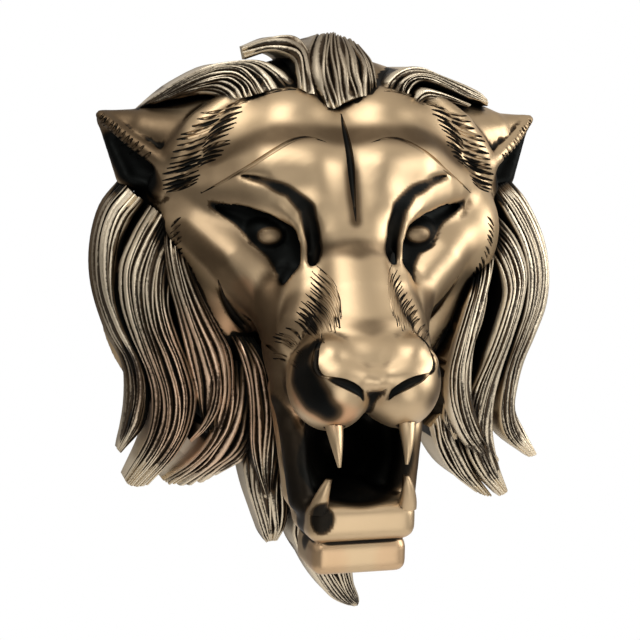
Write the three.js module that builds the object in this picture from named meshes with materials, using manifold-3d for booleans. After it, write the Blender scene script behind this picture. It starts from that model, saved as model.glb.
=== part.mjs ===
// Lion head wall mask: a roaring head in its mane, cast in one piece with a hollow back.
// Millimetres, +Z up, the wall at y = 0, the muzzle towards -Y. The origin lies on the flat back rim,
// midway between the two hanging holes.
import * as THREE from "three";
import Module from "manifold-3d";

const wasm = await Module();
wasm.setup();
const { Manifold, Mesh: SolidMesh } = wasm;

// Driving sizes
const MASK_HEIGHT = 360; // crest of the mane to the tip of the beard
const WALL = 7; // casting thickness behind the face
const HANG_SPACING = 60; // between the two hanging holes
const HANG_HOLE = 7; // diameter of each blind hanging hole
const HANG_DEPTH = 10;
const HANG_DROP = 22; // crest of the mane down to the hanging holes

const FACES = 9600; // facets kept of the casting

// The head is laid out on a drawing 360 high, as [across, out from the wall, up], and scaled to the mask.
const DRAWN_HEIGHT = 360;
const DRAWN_CREST = 178;
const SCALE = MASK_HEIGHT / DRAWN_HEIGHT;
const ORIGIN_UP = DRAWN_CREST - HANG_DROP / SCALE;

// Smooth joins: k is the width of the fillet between two masses
const softMin = (a, b, k) => {
  const h = Math.max(k - Math.abs(a - b), 0) / k;
  return Math.min(a, b) - h * h * k * 0.25;
};

// Distance to an ellipsoid, near enough for sculpting
function ellipsoid(centre, radii) {
  const reach = Math.max(...radii);
  return {
    centre,
    reach,
    distance(x, d, z) {
      const px = (x - centre[0]) / radii[0];
      const pd = (d - centre[1]) / radii[1];
      const pz = (z - centre[2]) / radii[2];
      const k0 = Math.hypot(px, pd, pz);
      const k1 = Math.hypot(px / radii[0], pd / radii[1], pz / radii[2]);
      return k1 > 1e-9 ? (k0 * (k0 - 1)) / k1 : -Math.min(...radii);
    },
  };
}

// Distance to a rounded tube through [across, out, up, radius] stations
function tube(stations) {
  const low = [0, 1, 2].map((i) => Math.min(...stations.map((s) => s[i] - s[3])));
  const high = [0, 1, 2].map((i) => Math.max(...stations.map((s) => s[i] + s[3])));
  return {
    centre: low.map((v, i) => (v + high[i]) / 2),
    reach: Math.hypot(...low.map((v, i) => (high[i] - v) / 2)),
    distance(x, d, z) {
      let nearest = Infinity;
      for (let i = 0; i + 1 < stations.length; i++) {
        const a = stations[i];
        const b = stations[i + 1];
        const ab = [b[0] - a[0], b[1] - a[1], b[2] - a[2]];
        const ap = [x - a[0], d - a[1], z - a[2]];
        const length = Math.hypot(...ab);
        const along = (ap[0] * ab[0] + ap[1] * ab[1] + ap[2] * ab[2]) / length ** 2;
        const h = Math.min(1, Math.max(0, along));
        const gap = Math.hypot(ap[0] - h * ab[0], ap[1] - h * ab[1], ap[2] - h * ab[2]);
        nearest = Math.min(nearest, gap - (a[3] + h * (b[3] - a[3])));
      }
      return nearest;
    },
  };
}

// A tube widened across by a factor, for flat and broad forms
function wide(factor, stations) {
  const round = tube(stations);
  return {
    centre: round.centre,
    reach: round.reach * factor,
    distance: (x, d, z) => round.distance(x / factor, d, z),
  };
}

// One mass of the sculpture: added or cut, with its join width, and mirrored to the other side or not
const add = (join, form) => ({ cut: false, join, form, mirrored: false });
const addPair = (join, form) => ({ cut: false, join, form, mirrored: true });
const cut = (join, form) => ({ cut: true, join, form, mirrored: false });
const cutPair = (join, form) => ({ cut: true, join, form, mirrored: true });

const manePad = [
  add(1, ellipsoid([0, 6, 35], [120, 34, 112])),
  add(10, ellipsoid([0, 2, 18], [136, 20, 104])),
  add(14, ellipsoid([0, 8, -60], [44, 26, 60])),
  add(10, ellipsoid([0, 14, 140], [60, 30, 26])), // under the tufts
];

const skull = [
  add(12, ellipsoid([0, 0, 66], [100, 72, 84])),
  addPair(14, ellipsoid([84, 8, 82], [26, 34, 34])), // temple
  addPair(12, ellipsoid([62, 20, 42], [36, 36, 44])), // cheek
  addPair(10, ellipsoid([66, 12, 10], [30, 36, 34])), // lower cheek
  addPair(5, ellipsoid([27, 31, 129], [31, 31, 22])), // forehead lobe
  // brow column
  addPair(6, tube([[15, 48, 112, 15], [19, 62, 96, 17], [17, 70, 78, 15], [13, 76, 62, 13]])),
  addPair(8, tube([[22, 58, 99, 18], [44, 58, 98, 17], [66, 45, 92, 14], [84, 26, 86, 11]])), // brow
];

const snout = [
  add(5, wide(1.6, [[0, 74, 66, 11], [0, 83, 50, 11], [0, 95, 30, 12.5], [0, 104, 10, 16]])), // bridge
  add(8, ellipsoid([0, 66, -8], [38, 50, 36])),
  addPair(8, tube([[92, 34, 64, 10], [72, 44, 46, 12], [56, 52, 30, 11], [42, 64, 14, 10]])), // cheekbone
  addPair(9, tube([[38, 66, 16, 14], [37, 76, -8, 14], [36, 84, -30, 11]])), // muscle to the mouth corner
  addPair(5, ellipsoid([20.5, 110, -20], [24.5, 29, 28])), // whisker pad
  add(4, wide(1.9, [[0, 106, 2, 17], [0, 115, -4, 15]])), // nose pad
  addPair(3, ellipsoid([24, 119, -3], [12, 14, 11])), // nostril wing
  add(4, ellipsoid([0, 116, -14], [13, 18, 11])),
];

const jaw = [
  // skin beside the mouth
  addPair(6, tube([[38, 80, -32, 8], [36, 88, -52, 8], [34, 90, -72, 7.5], [31, 92, -92, 8]])),
  addPair(8, tube([[34, 66, -30, 11], [30, 70, -60, 11], [26, 72, -92, 11]])),
  add(8, ellipsoid([0, 36, -62], [36, 40, 46])),
  add(6, ellipsoid([0, 68, -106], [29, 40, 22])),
  // lower lip
  addPair(4, tube([[0, 107, -101, 11], [20, 106, -101, 11], [28, 102, -99, 9.5], [28, 86, -94, 8]])),
  // chin
  addPair(1.5, tube([[0, 102, -122, 12], [15, 101, -122, 12], [23, 98, -121, 10.5], [23, 80, -118, 9]])),
];

const openings = [
  cut(5, ellipsoid([0, 98, -68], [26, 50, 24])), // mouth
  cut(5, ellipsoid([0, 130, -68], [31, 36, 21])),
  add(3, ellipsoid([0, 80, -94], [17, 28, 9])), // tongue
  cutPair(4, tube([[78, 50, 81, 3], [62, 64, 72, 8], [47, 68, 62, 14], [33, 77, 44, 7]])), // eye socket
  addPair(1, ellipsoid([46, 58, 62], [13, 13, 11])), // eyeball
  addPair(3, tube([[79, 45, 83, 4], [62, 67, 82, 5], [44, 78, 78, 6], [27, 79, 66, 5]])), // upper lid
  addPair(3, tube([[79, 45, 80, 3.5], [63, 60, 60, 4], [50, 68, 45, 4], [37, 73, 33, 4]])), // lower lid
  cutPair(3, tube([[66, 63, 95, 2], [50, 80, 94, 4], [38, 85, 89, 4], [28, 86, 79, 2.5]])), // brow crease
  // nostril
  cutPair(2, tube([[4, 136, -27, 2.5], [14, 139, -19, 4], [26, 136, -11, 4.5], [35, 126, -2, 4]])),
  cut(3, tube([[0, 140, -20, 3], [0, 142, -32, 3], [0, 138, -46, 4]])), // cleft of the lip
  cutPair(3, tube([[73, 56, 31, 2], [66, 58, 15, 3.5], [57, 60, 2, 4], [52, 62, -10, 3]])), // cheek crease
];

const ears = [
  addPair(5, tube([[82, 18, 112, 25], [110, 16, 119, 14], [134, 12, 127, 4]])),
  addPair(5, tube([[96, 16, 98, 17], [118, 14, 93, 10], [134, 11, 124, 4]])),
  cutPair(3, tube([[104, 32, 94, 9], [116, 28, 98, 9], [128, 20, 114, 4]])),
  // crescent of fur before the ear
  addPair(3, tube([[60, 40, 140, 7], [80, 40, 124, 9], [95, 36, 106, 9], [104, 30, 86, 7]])),
];

const head = [...manePad, ...skull, ...snout, ...jaw, ...openings, ...ears];

function headDistance(x, d, z, masses) {
  let value = 1e3;
  for (const { cut: isCut, join, form, mirrored } of masses) {
    for (const side of mirrored ? [1, -1] : [1]) {
      const [cx, cd, cz] = form.centre;
      const away = Math.hypot(side * x - cx, d - cd, z - cz) - form.reach;
      if (isCut ? away > -value + join : away > value + join) continue;
      const piece = form.distance(side * x, d, z);
      value = isCut ? -softMin(-value, piece, join) : softMin(value, piece, join);
    }
  }
  return value;
}

// Grid lines from low to high, close together between nearLow and nearHigh
function gridLines(low, high, nearLow, nearHigh, near, far) {
  const lines = [low];
  while (lines.at(-1) < high) {
    const at = lines.at(-1);
    lines.push(at + (at >= nearLow && at < nearHigh ? near : far));
  }
  return lines;
}

// The corners and edges of a grid cell, a corner's bits being its steps along the three axes
const CORNERS = [0, 1, 2, 3, 4, 5, 6, 7].map((c) => [c & 1, (c >> 1) & 1, c >> 2]);
const EDGES = CORNERS.flatMap((_, a) => [1, 2, 4].filter((bit) => !(a & bit)).map((bit) => [a, a | bit]));

// Each inside corner's patch within its cell: the inside corners that edges join to it
function patchesOf(v) {
  const patch = CORNERS.map((_, c) => c);
  for (let changed = true; changed; ) {
    changed = false;
    for (const [a, b] of EDGES) {
      if (v[a] >= 0 || v[b] >= 0 || patch[a] === patch[b]) continue;
      patch[a] = patch[b] = Math.min(patch[a], patch[b]);
      changed = true;
    }
  }
  return patch;
}

// A closed mesh on the zero level of a field: in a crossed cell one point for each patch of inside corners,
// and a face across each crossed edge
function skinOf(field, xs, ds, zs) {
  const [nx, nd, nz] = [xs.length, ds.length, zs.length];
  const at = (i, j, k) => (i * nd + j) * nz + k;
  const values = new Float64Array(nx * nd * nz);
  for (let i = 0; i < nx; i++)
    for (let j = 0; j < nd; j++)
      for (let k = 0; k < nz; k++) values[at(i, j, k)] = field(xs[i], ds[j], zs[k]);
  const points = [];
  const cells = new Map();
  for (let i = 0; i + 1 < nx; i++)
    for (let j = 0; j + 1 < nd; j++)
      for (let k = 0; k + 1 < nz; k++) {
        const v = CORNERS.map(([a, b, c]) => values[at(i + a, j + b, k + c)]);
        const inside = v.filter((q) => q < 0).length;
        if (inside === 0 || inside === 8) continue;
        const patch = patchesOf(v);
        const crossed = new Map();
        for (const [a, b] of EDGES) {
          if (v[a] < 0 === v[b] < 0) continue;
          const key = v[a] < 0 ? patch[a] : patch[b];
          if (!crossed.has(key)) crossed.set(key, []);
          const share = v[a] / (v[a] - v[b]);
          crossed.get(key).push(CORNERS[a].map((q, n) => q + share * (CORNERS[b][n] - q)));
        }
        const indices = new Map();
        for (const [key, crossings] of crossed) {
          const mean = (n) => crossings.reduce((sum, q) => sum + q[n], 0) / crossings.length;
          const [sx, sd, sz] = [0, 1, 2].map(mean);
          indices.set(key, points.length);
          points.push([
            xs[i] + sx * (xs[i + 1] - xs[i]),
            ds[j] + sd * (ds[j + 1] - ds[j]),
            zs[k] + sz * (zs[k + 1] - zs[k]),
          ]);
        }
        cells.set(at(i, j, k), { patch, indices });
      }
  const faces = [];
  const far = (m, n) => Math.hypot(...points[m].map((q, i) => q - points[n][i]));
  // The four cells round a grid edge, as steps back from its start, turning about its axis
  const rounds = [
    [[0, 0, 0], [0, 1, 0], [0, 1, 1], [0, 0, 1]],
    [[0, 0, 0], [0, 0, 1], [1, 0, 1], [1, 0, 0]],
    [[0, 0, 0], [1, 0, 0], [1, 1, 0], [0, 1, 0]],
  ];
  for (let i = 1; i + 1 < nx; i++)
    for (let j = 1; j + 1 < nd; j++)
      for (let k = 1; k + 1 < nz; k++)
        for (let axis = 0; axis < 3; axis++) {
          const step = [0, 1, 2].map((n) => (n === axis ? 1 : 0));
          const here = values[at(i, j, k)] < 0;
          if (here === values[at(i + step[0], j + step[1], k + step[2])] < 0) continue;
          const ring = rounds[axis].map(([a, b, c]) => {
            const { patch, indices } = cells.get(at(i - a, j - b, k - c));
            const start = a + 2 * b + 4 * c;
            return indices.get(patch[here ? start : start | (1 << axis)]);
          });
          const [p, q, r, t] = here ? ring : ring.reverse();
          if (far(p, r) < far(q, t)) faces.push([p, q, r], [p, r, t]);
          else faces.push([q, r, t], [q, t, p]);
        }
  return { points, faces };
}

// Drawing [across, out, up] to the part's own frame
const placed = ([x, d, z]) => [x * SCALE, -d * SCALE, (z - ORIGIN_UP) * SCALE];

function solidOf({ points, faces }, place = placed) {
  const vertProperties = new Float32Array(points.flatMap(place));
  const corner = (v, n) => vertProperties[v * 3 + n];
  let volume = 0;
  for (const [a, b, c] of faces) {
    volume +=
      corner(a, 0) * (corner(b, 1) * corner(c, 2) - corner(b, 2) * corner(c, 1)) +
      corner(a, 1) * (corner(b, 2) * corner(c, 0) - corner(b, 0) * corner(c, 2)) +
      corner(a, 2) * (corner(b, 0) * corner(c, 1) - corner(b, 1) * corner(c, 0));
  }
  const turned = volume < 0 ? faces.map(([a, b, c]) => [a, c, b]) : faces;
  const triVerts = new Uint32Array(turned.flat());
  return new Manifold(new SolidMesh({ numProp: 3, vertProperties, triVerts }));
}

function solidOfGeometry(geometry) {
  const position = geometry.attributes.position;
  const keys = new Map();
  const points = [];
  const merged = [];
  for (let i = 0; i < position.count; i++) {
    const p = [position.getX(i), position.getY(i), position.getZ(i)];
    const key = p.map((q) => q.toFixed(4)).join();
    if (!keys.has(key)) {
      keys.set(key, points.length);
      points.push(p);
    }
    merged.push(keys.get(key));
  }
  const index = geometry.index ? [...geometry.index.array] : [...Array(position.count).keys()];
  const faces = [];
  for (let i = 0; i < index.length; i += 3) {
    const [a, b, c] = [merged[index[i]], merged[index[i + 1]], merged[index[i + 2]]];
    if (a !== b && b !== c && c !== a) faces.push([a, b, c]);
  }
  return solidOf({ points, faces }, (p) => p);
}

// A lock of hair: a fluted ribbon along its crest line from root to tip. Its width swells from the root
// and runs out at the tip, and it leans down to the outside of the mask. It stands on the wall, and
// only its tip comes clear.
const LOCK_STATIONS = 12;
const TIP_SHARE = 0.1; // of the width
const ROOT_SHARE = 0.7;
const SWELL_AT = 0.35;
const LIFT_AT = 0.6; // from here to the tip the underside leaves the wall
const TIP_THICKNESS = 10;
const BEHIND_WALL = 4;
const MANE_CENTRE = 35;

function lock({ crest, width, crown, flutes, lean = 0 }) {
  const spots = crest.map((p) => new THREE.Vector3(...p));
  const line = new THREE.CatmullRomCurve3(spots, false, "catmullrom", 0.5);
  const across = flutes * 2 + 1;
  const ring = across + 2;
  const outward = new THREE.Vector3(0, 1, 0);
  const sidewaysAt = (u) => new THREE.Vector3().crossVectors(line.getTangent(u), outward).normalize();
  const middle = line.getPoint(0.5);
  const outer = new THREE.Vector3(middle.x, 0, middle.z - MANE_CENTRE);
  const facing = Math.sign(sidewaysAt(0.5).dot(outer)) || 1;
  const points = [];
  for (let i = 0; i <= LOCK_STATIONS; i++) {
    const u = i / LOCK_STATIONS;
    const centre = line.getPoint(u);
    const sideways = sidewaysAt(u);
    const swell =
      u < SWELL_AT
        ? ROOT_SHARE + (1 - ROOT_SHARE) * Math.sin((Math.PI / 2) * (u / SWELL_AT))
        : 1 - (1 - TIP_SHARE) * ((u - SWELL_AT) / (1 - SWELL_AT)) ** 1.7;
    const half = (width / 2) * swell;
    const flute = Math.min(1.6, half / flutes / 2);
    const top = [];
    for (let j = 0; j < across; j++) {
      const v = (j / (across - 1)) * 2 - 1;
      const fall = crown * swell * v * v + lean * half * v * facing + (j % 2 ? 0 : flute);
      top.push([centre.x + sideways.x * half * v, centre.y - fall, centre.z + sideways.z * half * v]);
    }
    const lift = Math.max(0, (u - LIFT_AT) / (1 - LIFT_AT));
    const under = ([x, d, z]) => [x, -BEHIND_WALL + lift * (d - TIP_THICKNESS + BEHIND_WALL), z];
    points.push(...top, under(top.at(-1)), under(top[0]));
  }
  const faces = [];
  for (let i = 0; i < LOCK_STATIONS; i++)
    for (let j = 0; j < ring; j++) {
      const [a, b] = [i * ring + j, i * ring + ((j + 1) % ring)];
      faces.push([a, b, b + ring], [a, b + ring, a + ring]);
    }
  const last = LOCK_STATIONS * ring;
  for (let j = 1; j + 1 < ring; j++) faces.push([0, j + 1, j], [last, last + j, last + j + 1]);
  return solidOf({ points, faces });
}

// Locks by the way they lie on the drawing. Left and right of the mane are alike and not mirrored.
const locks = [
  // left of the mane, from the outside in
  {
    crest: [[-115, 26, 88], [-133, 32, 59], [-136, 34, 26], [-124, 34, -7], [-117, 34, -40],
             [-120, 32, -60], [-128, 30, -74]],
    width: 22, crown: 12, flutes: 3, lean: 0.5,
  },
  {
    crest: [[-104, 34, 80], [-121, 40, 41], [-118, 43, 9], [-104, 43, -24], [-95, 42, -52],
             [-101, 38, -74], [-120, 32, -93]],
    width: 34, crown: 8, flutes: 4, lean: 0.2,
  },
  {
    crest: [[-96, 36, 70], [-97, 46, 40], [-89, 50, 14], [-82, 50, -16]],
    width: 18, crown: 5, flutes: 2, lean: 0,
  },
  {
    crest: [[-75, 50, 4], [-73, 52, -27], [-76, 48, -48], [-88, 40, -64]],
    width: 18, crown: 5, flutes: 2, lean: 0,
  },
  {
    crest: [[-54, 48, -6], [-57, 44, -47], [-70, 38, -73], [-98, 28, -94]],
    width: 34, crown: 8, flutes: 4, lean: 0.1,
  },
  {
    crest: [[-40, 44, -38], [-46, 38, -68], [-41, 30, -101], [-33, 20, -137]],
    width: 24, crown: 7, flutes: 3, lean: 0.1,
  },
  {
    crest: [[-28, 36, -66], [-20, 30, -95], [-20, 26, -120], [-22, 22, -134]],
    width: 15, crown: 5, flutes: 2, lean: 0,
  },
  // beard
  {
    crest: [[-18, 36, -108], [-10, 34, -142], [6, 28, -167], [24, 20, -182]],
    width: 23, crown: 7, flutes: 3, lean: 0.1,
  },
  // right of the mane, from the outside in
  {
    crest: [[114, 28, 90], [140, 34, 52], [142, 36, 9], [131, 36, -30], [129, 34, -56], [142, 30, -88]],
    width: 22, crown: 12, flutes: 3, lean: 0.5,
  },
  {
    crest: [[100, 34, 73], [119, 42, 24], [107, 44, -28], [97, 42, -66], [103, 36, -93], [120, 32, -115]],
    width: 34, crown: 8, flutes: 4, lean: 0.2,
  },
  {
    crest: [[94, 36, 66], [96, 46, 36], [90, 50, 8], [84, 48, -22]],
    width: 18, crown: 5, flutes: 2, lean: 0,
  },
  {
    crest: [[82, 48, 8], [75, 50, -26], [70, 46, -51], [81, 38, -74]],
    width: 20, crown: 5, flutes: 2, lean: 0,
  },
  {
    crest: [[64, 42, -30], [72, 38, -70], [86, 33, -90], [112, 26, -115]],
    width: 30, crown: 8, flutes: 4, lean: 0.1,
  },
  {
    crest: [[44, 36, -40], [48, 32, -66], [56, 28, -84], [66, 22, -98]],
    width: 20, crown: 6, flutes: 2, lean: 0,
  },
  // over the ears
  {
    crest: [[-20, 48, 139], [-42, 42, 150], [-78, 34, 141], [-114, 22, 127]],
    width: 28, crown: 7, flutes: 4, lean: 0.3,
  },
  {
    crest: [[26, 48, 137], [43, 44, 147], [66, 38, 148], [100, 26, 133]],
    width: 26, crown: 7, flutes: 4, lean: 0.3,
  },
  // tufts over the forehead
  {
    crest: [[4, 42, 158], [-18, 38, 168], [-40, 34, 168], [-57, 30, 167]],
    width: 18, crown: 6, flutes: 3, lean: 0.2,
  },
  {
    crest: [[-8, 52, 134], [-14, 48, 152], [-12, 40, 165], [2, 28, 175]],
    width: 28, crown: 7, flutes: 4, lean: 0,
  },
  {
    crest: [[8, 52, 136], [12, 48, 152], [11, 42, 165], [4, 30, 175]],
    width: 26, crown: 7, flutes: 4, lean: 0,
  },
  {
    crest: [[19, 48, 140], [24, 44, 152], [22, 36, 161], [12, 26, 170]],
    width: 20, crown: 6, flutes: 3, lean: 0,
  },
];

// Teeth: curved cones from root to point
function tooth(root, bend, point, thick, blunt, side) {
  const line = new THREE.QuadraticBezierCurve3(...[root, bend, point].map((p) => new THREE.Vector3(...p)));
  const [rings, around] = [4, 6];
  const points = [];
  for (let i = 0; i <= rings; i++) {
    const u = i / rings;
    const centre = line.getPoint(u);
    const radius = thick + (blunt - thick) * u ** 1.2;
    for (let j = 0; j < around; j++) {
      const turn = (j / around) * 2 * Math.PI;
      const x = centre.x + radius * Math.cos(turn);
      points.push([x * side, centre.y + radius * Math.sin(turn), centre.z]);
    }
  }
  const faces = [];
  for (let i = 0; i < rings; i++)
    for (let j = 0; j < around; j++) {
      const [a, b] = [i * around + j, i * around + ((j + 1) % around)];
      faces.push([a, b, b + around], [a, b + around, a + around]);
    }
  for (let j = 1; j + 1 < around; j++) {
    faces.push([0, j + 1, j]);
    faces.push([rings * around, rings * around + j, rings * around + j + 1]);
  }
  return solidOf({ points, faces });
}

// Error of a spot under a vertex's summed squared distances to the planes that met there
function errorAt(sums, spot) {
  const v = [...spot, 1];
  let error = 0;
  let n = 0;
  for (let r = 0; r < 4; r++)
    for (let c = r; c < 4; c++) error += sums[n++] * v[r] * v[c] * (r === c ? 1 : 2);
  return error;
}

const normalOf = ([a, b, c]) => {
  const [u, v] = [b, c].map((q) => q.map((w, i) => w - a[i]));
  return [u[1] * v[2] - u[2] * v[1], u[2] * v[0] - u[0] * v[2], u[0] * v[1] - u[1] * v[0]];
};

// Takes out the vertices that shape the surface least, until few enough faces are left.
// The wall face stays flat.
function thinned({ points, faces }, wanted) {
  const spots = points.map((p) => [...p]);
  const onWall = spots.map((p) => Math.abs(p[1]) < 1e-4);
  const sums = points.map(() => new Float64Array(10));
  for (const face of faces) {
    const normal = normalOf(face.map((i) => spots[i]));
    const twiceArea = Math.hypot(...normal);
    if (twiceArea < 1e-12) continue;
    const unit = normal.map((q) => q / twiceArea);
    const plane = [...unit, -unit.reduce((sum, q, i) => sum + q * spots[face[0]][i], 0)];
    let n = 0;
    for (let r = 0; r < 4; r++)
      for (let c = r; c < 4; c++) {
        for (const i of face) sums[i][n] += plane[r] * plane[c] * twiceArea;
        n++;
      }
  }
  let live = faces;
  while (live.length > wanted) {
    const around = spots.map(() => []);
    live.forEach((face, f) => face.forEach((i) => around[i].push(f)));
    const edges = [];
    for (const [a, b, c] of live)
      for (const [u, v] of [[a, b], [b, c], [c, a]]) {
        if (u > v) continue;
        const both = sums[u].map((q, n) => q + sums[v][n]);
        const middle = spots[u].map((q, i) => (q + spots[v][i]) / 2);
        const choices = onWall[u] === onWall[v] ? [spots[u], spots[v], middle] : [spots[onWall[u] ? u : v]];
        const costs = choices.map((spot) => errorAt(both, spot));
        const cost = Math.min(...costs);
        edges.push({ u, v, both, cost, spot: choices[costs.indexOf(cost)] });
      }
    edges.sort((a, b) => a.cost - b.cost);
    const locked = new Set();
    const gone = new Set();
    const before = live.length;
    for (const { u, v, both, spot } of edges.slice(0, Math.ceil(edges.length * 0.3))) {
      if (live.length - gone.size <= wanted) break;
      const ring = new Set([...around[u], ...around[v]]);
      const corners = new Set([...ring].flatMap((f) => live[f]));
      if ([...corners].some((i) => locked.has(i))) continue;
      const next = (w) => new Set(around[w].flatMap((f) => live[f]));
      const shared = [...next(u)].filter((i) => i !== u && i !== v && next(v).has(i));
      const doomed = [...ring].filter((f) => live[f].includes(u) && live[f].includes(v));
      if (shared.length !== 2 || doomed.length !== 2) continue;
      const turns = [...ring].some((f) => {
        if (doomed.includes(f)) return false;
        const old = normalOf(live[f].map((i) => spots[i]));
        const fresh = normalOf(live[f].map((i) => (i === u || i === v ? spot : spots[i])));
        const along = old[0] * fresh[0] + old[1] * fresh[1] + old[2] * fresh[2];
        return along <= 0.3 * Math.hypot(...old) * Math.hypot(...fresh);
      });
      if (turns) continue;
      for (const i of corners) locked.add(i);
      for (const f of doomed) gone.add(f);
      for (const f of around[v]) live[f] = live[f].map((i) => (i === v ? u : i));
      spots[u] = [...spot];
      sums[u] = both;
      onWall[u] = onWall[u] || onWall[v];
    }
    live = live.filter((_, f) => !gone.has(f));
    if (live.length === before) break;
  }
  const used = [...new Set(live.flat())];
  const renumbered = new Map(used.map((i, n) => [i, n]));
  return {
    points: used.map((i) => spots[i]),
    faces: live.map((face) => face.map((i) => renumbered.get(i))),
  };
}

function box(low, high) {
  const geometry = new THREE.BoxGeometry(...high.map((v, i) => v - low[i]));
  geometry.translate(...high.map((v, i) => (v + low[i]) / 2));
  return solidOfGeometry(geometry);
}

function blindHole(across) {
  const geometry = new THREE.CylinderGeometry(HANG_HOLE / 2, HANG_HOLE / 2, HANG_DEPTH * 2, 16);
  geometry.translate(across, 0, 0);
  return solidOfGeometry(geometry);
}

// The hollow at the back follows the main masses of the head at the wall thickness, stays clear of the
// mouth and the eyes, and leaves the rim flat above it for the hanging holes
const DISH = ellipsoid([0, 0, 30], [104, 17, 92]);
const HOLLOW_TOP = 138;
function hollowDistance(x, d, z) {
  const masses = [...manePad, ...skull.slice(0, 4), ...snout.slice(0, 3)];
  const inHead = headDistance(x, d, z, masses) + (WALL + 4) / SCALE;
  const aboveMouth = -tube([[0, 70, -66, 44], [0, 110, -66, 44]]).distance(x, d, z) + 4;
  const eye = tube([[61, 62, 70, 12], [46, 68, 58, 20]]);
  const inEyes = Math.min(eye.distance(x, d, z), eye.distance(-x, d, z));
  const hollow = softMin(inHead, DISH.distance(x, d, z), 10);
  return Math.max(hollow, aboveMouth, -inEyes + WALL / SCALE, z - HOLLOW_TOP, -BEHIND_WALL - d);
}

function castHead() {
  const xs = gridLines(-160, 160, -60, 60, 4, 5.5);
  const ds = gridLines(-18, 152, 40, 140, 4, 5.5);
  const zs = gridLines(-148, 178, -130, 130, 4, 5.5);
  const field = (x, d, z) => Math.max(headDistance(x, d, z, head), -BEHIND_WALL - d);
  return solidOf(skinOf(field, xs, ds, zs));
}

function castHollow() {
  const lines = (low, high) => gridLines(low, high, 0, 0, 10, 10);
  return solidOf(skinOf(hollowDistance, lines(-135, 135), lines(-15, 135), lines(-135, 175)));
}

function lionMask() {
  const teeth = [1, -1].flatMap((side) => [
    tooth([22, 124, -38], [22, 130, -54], [20, 131, -66], 7.5, 1.2, side),
    tooth([27, 112, -96], [27, 119, -84], [23, 121, -74], 6, 2, side),
  ]);
  const outer = Manifold.union([castHead(), ...locks.map(lock), ...teeth]);
  const far = MASK_HEIGHT;
  const behindWall = box([-far, 0, -2 * far], [far, far, far]);
  const casting = outer.subtract(castHollow()).subtract(behindWall);
  const holes = [-1, 1].map((side) => blindHole((side * HANG_SPACING) / 2));
  return solidOf(thinned(meshOf(casting), FACES), (p) => p).subtract(Manifold.union(holes));
}

function meshOf(solid) {
  const { vertProperties, triVerts, numProp } = solid.getMesh();
  const points = [];
  for (let i = 0; i < vertProperties.length; i += numProp) points.push([...vertProperties.slice(i, i + 3)]);
  const faces = [];
  for (let i = 0; i < triVerts.length; i += 3) faces.push([...triVerts.slice(i, i + 3)]);
  return { points, faces };
}

function geometryOf(solid) {
  const { points, faces } = meshOf(solid);
  const geometry = new THREE.BufferGeometry();
  geometry.setAttribute("position", new THREE.Float32BufferAttribute(points.flat(), 3));
  geometry.setIndex(new THREE.BufferAttribute(new Uint32Array(faces.flat()), 1));
  geometry.computeVertexNormals();
  return geometry;
}

const agedBrass = new THREE.MeshStandardMaterial({ color: 0x9c8258, roughness: 0.35, metalness: 1 });
const mask = new THREE.Mesh(geometryOf(lionMask()), agedBrass);
mask.name = "lion_mask";

const group = new THREE.Group();
group.add(mask);
export default group;
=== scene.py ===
"""Lion head wall mask in aged cast brass: one casting, sculpted over its solid."""

import math

import bpy
import numpy as np
from mathutils import Matrix, Vector
from mathutils.bvhtree import BVHTree


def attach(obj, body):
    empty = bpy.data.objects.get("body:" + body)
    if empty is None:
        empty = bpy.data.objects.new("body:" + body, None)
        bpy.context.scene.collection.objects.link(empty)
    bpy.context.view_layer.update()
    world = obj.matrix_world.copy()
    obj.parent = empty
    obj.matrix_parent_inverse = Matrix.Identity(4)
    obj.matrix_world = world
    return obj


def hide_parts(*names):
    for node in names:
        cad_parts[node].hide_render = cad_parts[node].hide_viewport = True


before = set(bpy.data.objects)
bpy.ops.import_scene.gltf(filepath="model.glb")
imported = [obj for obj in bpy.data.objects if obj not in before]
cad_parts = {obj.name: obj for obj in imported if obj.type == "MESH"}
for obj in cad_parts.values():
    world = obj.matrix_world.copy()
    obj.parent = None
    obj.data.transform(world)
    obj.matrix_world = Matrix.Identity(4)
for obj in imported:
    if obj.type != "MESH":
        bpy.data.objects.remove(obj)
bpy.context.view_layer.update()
for thing in list(bpy.context.selected_objects):
    thing.select_set(False)

# The head is sculpted on the solid's own drawing: millimetres as [across, out from the wall, up].
ORIGIN_UP = 156
BEHIND_WALL = 4
WALL = 7
HANG_SPACING = 60
HANG_HOLE = 7
HANG_DEPTH = 10


def placed(points):
    """Drawing to the part's frame, in metres."""
    across, out, up = np.asarray(points, float).T
    return np.column_stack((across, -out, up - ORIGIN_UP)) / 1000


# Camera, as the photograph sees the mask
LOOK_SIDE = math.radians(16)
LOOK_DOWN = math.radians(8)
LOOK_ROLL = math.radians(1)
LOOK_DISTANCE = 1.1
LENS = 97.8
PICTURE_ACROSS = 640
DRAWING_AT = 312  # picture column where the middle of the drawing falls

back = Vector(
    (
        -math.sin(LOOK_SIDE) * math.cos(LOOK_DOWN),
        -math.cos(LOOK_SIDE) * math.cos(LOOK_DOWN),
        math.sin(LOOK_DOWN),
    )
)
level = Vector((math.cos(LOOK_SIDE), -math.sin(LOOK_SIDE), 0))
upright = level.cross(-back)
right = math.cos(LOOK_ROLL) * level + math.sin(LOOK_ROLL) * upright
top = -math.sin(LOOK_ROLL) * level + math.cos(LOOK_ROLL) * upright
drawing_middle = Vector((0, 0, -ORIGIN_UP / 1000))

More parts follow.
